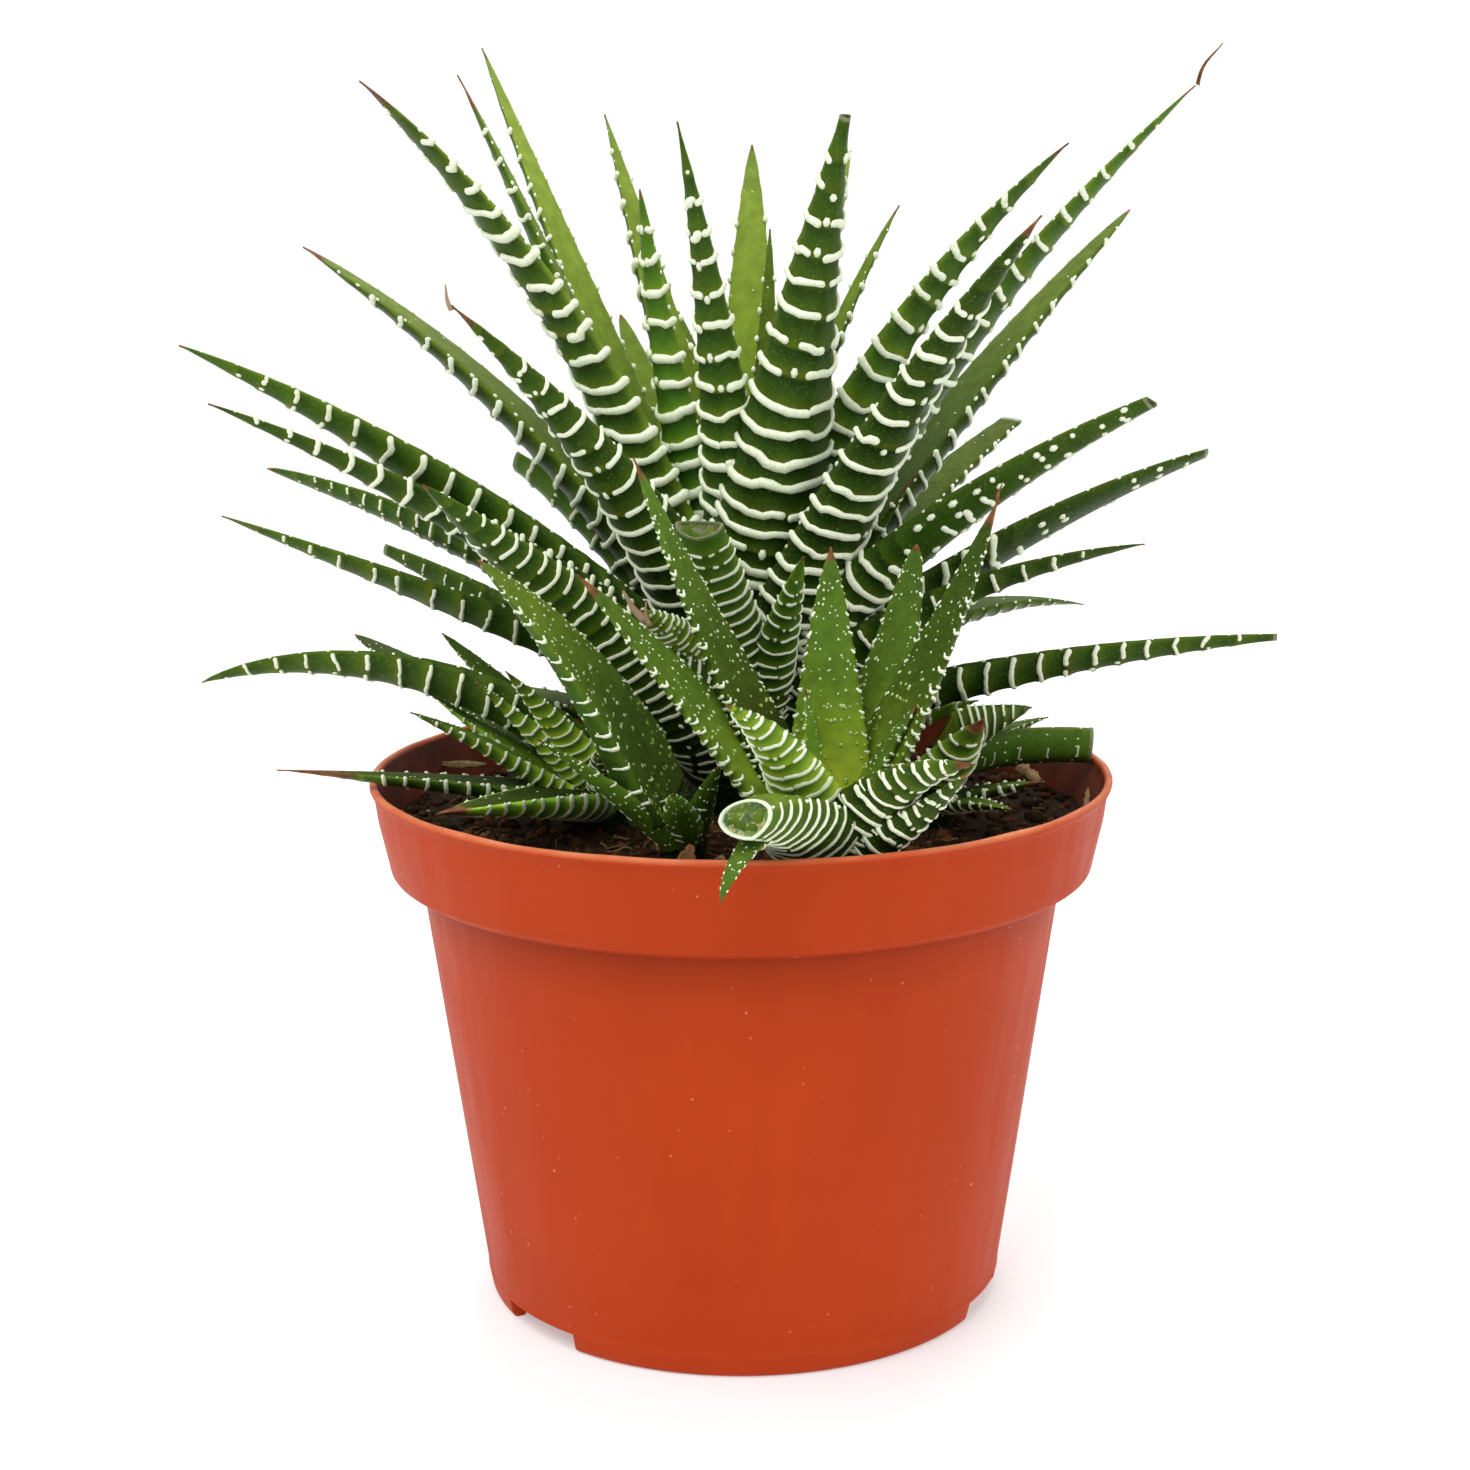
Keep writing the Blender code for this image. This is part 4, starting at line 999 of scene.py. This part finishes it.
def peat():
    """Dark moist peat; the tint attribute makes each crumb its own brown."""
    shader = Shader("peat")
    own, pale = shader.attribute("tint")[:2]
    grain = shader.ramp(shader.noise(1500.0, 6.0, 0.7), (0.3, (0.010, 0.005, 0.003)),
                        (0.55, (0.04, 0.02, 0.009)), (0.75, (0.12, 0.06, 0.026)))
    grain = shader.mix(own, grain, (0.22, 0.085, 0.025))
    straw = shader.ramp(shader.noise(1200.0, 4.0), (0.3, (0.42, 0.26, 0.09)), (0.7, (0.72, 0.58, 0.34)))
    grain = shader.mix(pale, grain, straw)
    rough = shader.ramp(shader.noise(900.0), (0.3, 0.7), (0.7, 1.0))
    shader.set(Base_Color=grain, Roughness=rough, Specular_IOR_Level=0.1)
    shader.bump(shader.noise(2400.0, 6.0, 0.7), 0.8, 0.0008)
    return shader.material


def studio_white():
    """The floor: pale, matt, and a little bright by itself."""
    shader = Shader("studio_white")
    shader.set(Base_Color=(0.6, 0.6, 0.6), Roughness=0.7)
    shader.set(Emission_Color=(1.0, 1.0, 1.0), Emission_Strength=0.35)
    return shader.material


def rounded(outline, radius):
    """An open or closed outline with each inner corner replaced by a short arc."""
    points = [outline[0]]
    for before, here, after in zip(outline, outline[1:], outline[2:]):
        here = np.array(here, float)
        ways = [np.array(other, float) - here for other in (before, after)]
        reach = [min(radius, np.linalg.norm(way) * 0.45) for way in ways]
        start, end = (here + way / np.linalg.norm(way) * part for way, part in zip(ways, reach))
        for step in (0.0, 0.33, 0.67, 1.0):
            points.append(tuple((1 - step) ** 2 * start + 2 * (1 - step) * step * here + step**2 * end))
    return points + [outline[-1]]


def pot_outline():
    """The pot's wall: from under its floor, up the outside, and down the inside."""
    collar_low = POT_HEIGHT - COLLAR_HEIGHT
    floor_top = FOOT_HEIGHT + WALL
    foot_inside = BASE_RADIUS - FOOT_WIDTH
    wall_low = FOOT_HEIGHT + 0.6
    drop = COLLAR_DROP_RADIUS - 2.4
    low = [(0.01, FOOT_HEIGHT), (12, FOOT_HEIGHT), (30, FOOT_HEIGHT), (foot_inside, FOOT_HEIGHT),
           (foot_inside, 0), (BASE_RADIUS - 0.6, 0), (BASE_RADIUS, 0.6),
           (WALL_LOW_RADIUS + 0.1, FOOT_HEIGHT + 0.3), (WALL_LOW_RADIUS, wall_low)]
    wall = [(WALL_LOW_RADIUS + (WALL_TOP_RADIUS - WALL_LOW_RADIUS) * share,
             wall_low + (collar_low - wall_low) * share) for share in (0.25, 0.5, 0.75, 1.0)]
    collar = [(drop, collar_low + 0.4), (COLLAR_DROP_RADIUS - 0.5, collar_low + 1.6),
              (COLLAR_DROP_RADIUS, collar_low + 4), (RIM_RADIUS - 1.2, POT_HEIGHT - 6),
              (RIM_RADIUS - 0.6, POT_HEIGHT - 1.6), (RIM_RADIUS, POT_HEIGHT - 1.1),
              (RIM_RADIUS, POT_HEIGHT - 0.3), (RIM_RADIUS - 0.4, POT_HEIGHT),
              (RIM_RADIUS - WALL, POT_HEIGHT - 0.1)]
    inside = [(COLLAR_DROP_RADIUS - WALL, collar_low + 4), (drop - WALL / 2, collar_low + 1.6),
              (WALL_TOP_RADIUS - WALL, collar_low + WALL), (WALL_LOW_RADIUS - WALL, floor_top),
              (30, floor_top), (0.01, floor_top)]
    return rounded(low + wall + collar + inside, 0.5)


def pot_angles():
    """Angles round the pot, with a close pair at each side of each notch."""
    sides = [centre + sign * NOTCH_SPREAD / 2 for centre in NOTCH_ANGLES for sign in (-1, 1)]
    even = [360 * step / POT_SIDES for step in range(POT_SIDES)]
    kept = [angle for angle in even if all(apart(angle, side) > 0.6 for side in sides)]
    pairs = [(side + sign * 0.15) % 360 for side in sides for sign in (-1, 1)]
    return sorted(kept + pairs)


def apart(first, second):
    """How many degrees part two directions."""
    return abs((first - second + 180) % 360 - 180)


def make_pot(plastic):
    """The pot turned from its outline, its foot notched and its rim a little uneven."""
    outline, angles = pot_outline(), pot_angles()
    points = []
    for radius, height in outline:
        for angle in angles:
            notched = any(apart(angle, centre) < NOTCH_SPREAD / 2 for centre in NOTCH_ANGLES)
            place = (*around(radius, math.radians(angle)), max(height, NOTCH_HEIGHT if notched else 0.0))
            uneven = max(0.0, (height - POT_HEIGHT + 4) / 4) * 0.22
            rise = uneven * noise.noise((place[0] * 0.09, place[1] * 0.09, 3.1))
            out = 1 + uneven * 0.35 * noise.noise((place[0] * 0.12, place[1] * 0.12, 8.7)) / RIM_RADIUS
            points.append((place[0] * out, place[1] * out, place[2] + rise))
    body = Body()
    body.add_tube(np.array(points).reshape(len(outline), len(angles), 3), 0)
    pot = body.make("pot_shell", [plastic])
    cut_drains(pot)
    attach(pot, "root")
    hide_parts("pot")


def cut_drains(pot):
    """Six round holes through the floor, cut for good."""
    body = Body()
    heights = (FOOT_HEIGHT - 1, FOOT_HEIGHT + WALL + 1)
    for hole in range(DRAIN_HOLES):
        angle = math.radians(DRAIN_TURN + 360 * hole / DRAIN_HOLES)
        edge = np.array([*around(DRAIN_CIRCLE, angle), 0.0]) + circle(32) * DRAIN_RADIUS
        body.add_tube([edge + (0, 0, height) for height in heights], 0)
    cutter = body.make("drain_cutter", [])
    step = pot.modifiers.new("drains", "BOOLEAN")
    step.operation, step.solver, step.object = "DIFFERENCE", "EXACT", cutter
    bpy.context.view_layer.update()
    shaped = bpy.data.meshes.new_from_object(pot.evaluated_get(bpy.context.evaluated_depsgraph_get()))
    pot.modifiers.clear()
    pot.data = shaped
    bpy.data.objects.remove(cutter, do_unlink=True)
    shaped.set_sharp_from_angle(angle=math.radians(SHARP_ANGLE))


def soil_height(x, y):
    """The peat's surface: a few low bumps, as in the solid, under a fine crumble."""
    waves = math.sin(0.21 * x + 0.7) * math.cos(0.17 * y - 0.4) + 0.6 * math.sin(0.33 * y + 0.11 * x)
    return SOIL_TOP + SOIL_BUMP * waves / 1.6


def crumble(x, y):
    fine = noise.fractal((x * 0.35, y * 0.35, 1.7), 0.9, 2.1, 4)
    return soil_height(x, y) + 0.55 * fine


def crumb_form():
    """The twelve corners of an even crumb."""
    golden = (1 + 5**0.5) / 2
    flat = [(a * sign, b, 0) for sign in (-1, 1) for a, b in ((1, golden), (1, -golden))]
    return unit(np.array(flat + [(0, x, y) for x, y, z in flat] + [(y, 0, x) for x, y, z in flat], float))


def crumb(draw, at, size):
    """One crumb: the even form with its corners pushed about, flattened and turned."""
    corners = crumb_form() * draw.uniform(0.65, 1.15, (12, 1)) * size
    corners = corners * np.array([1.0, draw.uniform(0.6, 1.0), CRUMB_FLATNESS])
    turn = draw.uniform(0, 2 * math.pi)
    spin = np.array([[math.cos(turn), -math.sin(turn), 0], [math.sin(turn), math.cos(turn), 0], [0, 0, 1]])
    return corners @ spin.T + at


def hull_faces():
    """The twenty triangles that join a crumb's twelve corners."""
    form = bmesh.new()
    for corner in crumb_form():
        form.verts.new(corner)
    bmesh.ops.convex_hull(form, input=form.verts)
    form.verts.index_update()
    faces = [[corner.index for corner in face.verts] for face in form.faces]
    form.free()
    return np.array(faces)


def add_flake(body, middle, along, across, curl, tint):
    """A thin papery flake: a curled sheet with a ragged edge, closed all round."""
    middle, along, across = (np.array(v, float) for v in (middle, along, across))
    up = unit(np.cross(along, across))
    draw = np.random.default_rng(int(abs(middle[0]) * 10))
    rings = []
    for step in np.linspace(-1, 1, 13):
        wide = (1 - 0.6 * step**2) * draw.uniform(0.6, 1.1)
        line = np.linspace(-wide, wide, 7)[:, None]
        rise = curl * (step**2 - 0.6 * line**2 + 0.3 * np.sin(5 * step + line))
        rise = rise + draw.uniform(-0.12, 0.12, (7, 1))
        top = middle + along * step + across * line + up * (rise + 0.12)
        rings.append(np.concatenate([top, (top - up * 0.24)[::-1]]))
    body.add_tube(rings, 0, tint=tint)


def add_grains(body, draw, faces):
    """Clusters of bigger bark and pale grains."""
    for x, y, spread, count, light in GRAINS:
        for _ in range(count):
            px, py = x + draw.normal(0, spread), y + draw.normal(0, spread * 0.7)
            size = draw.uniform(0.5, 1.25)
            reach = math.hypot(px, py) / (SOIL_RADIUS - size - 0.3)
            px, py = px / max(reach, 1.0), py / max(reach, 1.0)
            tint = (draw.uniform(0.2, 1.0), light * draw.uniform(0.1, 1.2) ** 2, 0)
            start = body.add(crumb(draw, (px, py, crumble(px, py) + size * 0.45), size), tint=tint)
            body.add_triangles(faces + start, 0)


def make_peat(material):
    """A crumbled surface in the pot, loose crumbs, pale grains and fibres on it."""
    draw = np.random.default_rng(5)
    body = Body()
    angles = turns(180)
    rings = []
    for radius, height in ((38.0, 5.0), (WALL_TOP_RADIUS - 1.6, 67), (52.0, 70.5), (SOIL_RADIUS - 0.5, 72.5)):
        rings.append([(*around(radius, angle), height) for angle in angles])
    for radius in np.linspace(SOIL_RADIUS, 0.4, 56):
        ring = [around(radius, angle) for angle in angles]
        rings.append([(x, y, crumble(x, y)) for x, y in ring])
    body.add_tube(rings, 0)
    faces = hull_faces()
    for _ in range(CRUMBS):
        radius, turn = SOIL_RADIUS * math.sqrt(draw.uniform(0, 1)), draw.uniform(0, 2 * math.pi)
        size = draw.gamma(2.2, 0.22) + 0.22
        x, y = around(min(radius, SOIL_RADIUS - size), turn)
        pale = 1.0 if draw.random() < 0.02 else 0.0
        corners = crumb(draw, (x, y, crumble(x, y) + size * 0.25), size)
        start = body.add(corners, tint=(draw.random() ** 3, pale, 0))
        body.add_triangles(faces + start, 0)
    add_grains(body, draw, faces)
    for flake in FLAKES:
        add_flake(body, *flake)
    add_fibres(body, draw)
    piece = body.make("peat_surface", [material])
    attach(piece, "root")
    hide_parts("soil")


def add_fibres(body, draw):
    """Short bent fibres and bits of bark that lie on the peat."""
    angles = turns(5)[:, None]
    for _ in range(FIBRES):
        radius, turn = 50 * math.sqrt(draw.uniform(0, 1)), draw.uniform(0, 2 * math.pi)
        heading, bend = draw.uniform(0, 2 * math.pi), draw.uniform(-0.25, 0.25)
        length, thick = draw.uniform(2.5, 8.0), draw.uniform(0.12, 0.4)
        place = np.array(around(radius, turn))
        line = []
        for step in range(8):
            line.append((*place, crumble(*place) + 0.35 + 0.3 * math.sin(step * 0.9 + turn)))
            place = place + np.array([math.cos(heading), math.sin(heading)]) * length / 7
            heading += bend
            place *= min(1.0, (SOIL_RADIUS - 1) / max(np.linalg.norm(place), 1.0))
        line = np.array(line)
        along = unit(np.gradient(line, axis=0))
        side = unit(np.cross(along, (0.0, 0.0, 1.0)))
        up = np.cross(side, along)
        width = (thick / 2 * (1 - 0.5 * np.abs(np.linspace(-1, 1, 8)) ** 3))[:, None, None]
        rings = line[:, None] + width * (side[:, None] * np.cos(angles) + up[:, None] * np.sin(angles))
        body.add_tube(rings, 0, tint=(draw.uniform(0.4, 1.0), draw.uniform(0, 0.3), 0))


def make_stage():
    """A pale floor under the pot, and soft light from a plain studio."""
    mesh = bpy.data.meshes.new("floor")
    corners = [(*around(FLOOR_RADIUS, angle), 0) for angle in turns(96)]
    mesh.from_pydata(corners, [], [tuple(range(len(corners)))])
    mesh.materials.append(studio_white())
    floor = bpy.data.objects.new("floor", mesh)
    bpy.context.scene.collection.objects.link(floor)
    world = bpy.data.worlds.new("studio")
    world.use_nodes = True
    tree = world.node_tree
    direction = tree.nodes.new("ShaderNodeTexCoord").outputs["Generated"]
    parts = tree.nodes.new("ShaderNodeSeparateXYZ")
    tree.links.new(direction, parts.inputs[0])
    depth = tree.nodes.new("ShaderNodeMapRange")
    for name, value in WORLD_RANGE.items():
        depth.inputs[name].default_value = value
    tree.links.new(parts.outputs["Y"], depth.inputs["Value"])
    tree.links.new(depth.outputs["Result"], tree.nodes["Background"].inputs["Strength"])
    tree.nodes["Background"].inputs["Color"].default_value = (1.0, 1.0, 1.0, 1.0)
    bpy.context.scene.world = world
    for name, place, size, power in LIGHTS:
        light = bpy.data.lights.new(name, "AREA")
        light.size, light.energy = size, power
        lamp = bpy.data.objects.new(name, light)
        lamp.location = place
        lamp.rotation_euler = (AIM - lamp.location).to_track_quat("-Z", "Y").to_euler()
        bpy.context.scene.collection.objects.link(lamp)


def make_camera():
    """The photograph's camera, level but for a slight roll, looking down at the pot."""
    data = bpy.data.cameras.new("camera")
    data.sensor_width = 36.0
    data.lens = data.sensor_width * FOCAL_PIXELS / IMAGE_SIZE
    data.clip_start = 0.01
    camera = bpy.data.objects.new("camera", data)
    tilt = Matrix.Rotation(math.radians(90 - CAMERA_PITCH), 4, "X")
    roll = Matrix.Rotation(-math.radians(CAMERA_ROLL), 4, "Z")
    camera.matrix_world = Matrix.Translation([value * MM for value in CAMERA_AT]) @ tilt @ roll
    bpy.context.scene.collection.objects.link(camera)
    bpy.context.scene.camera = camera


bpy.context.scene.view_settings.view_transform = "Standard"
make_camera()
make_stage()
make_leaves([leaf_flesh("leaf_flesh", False), band_white(), cut_flesh(), leaf_flesh("leaf_glow", True)])
make_pot(pot_plastic())
make_peat(peat())

bpy.context.view_layer.update()
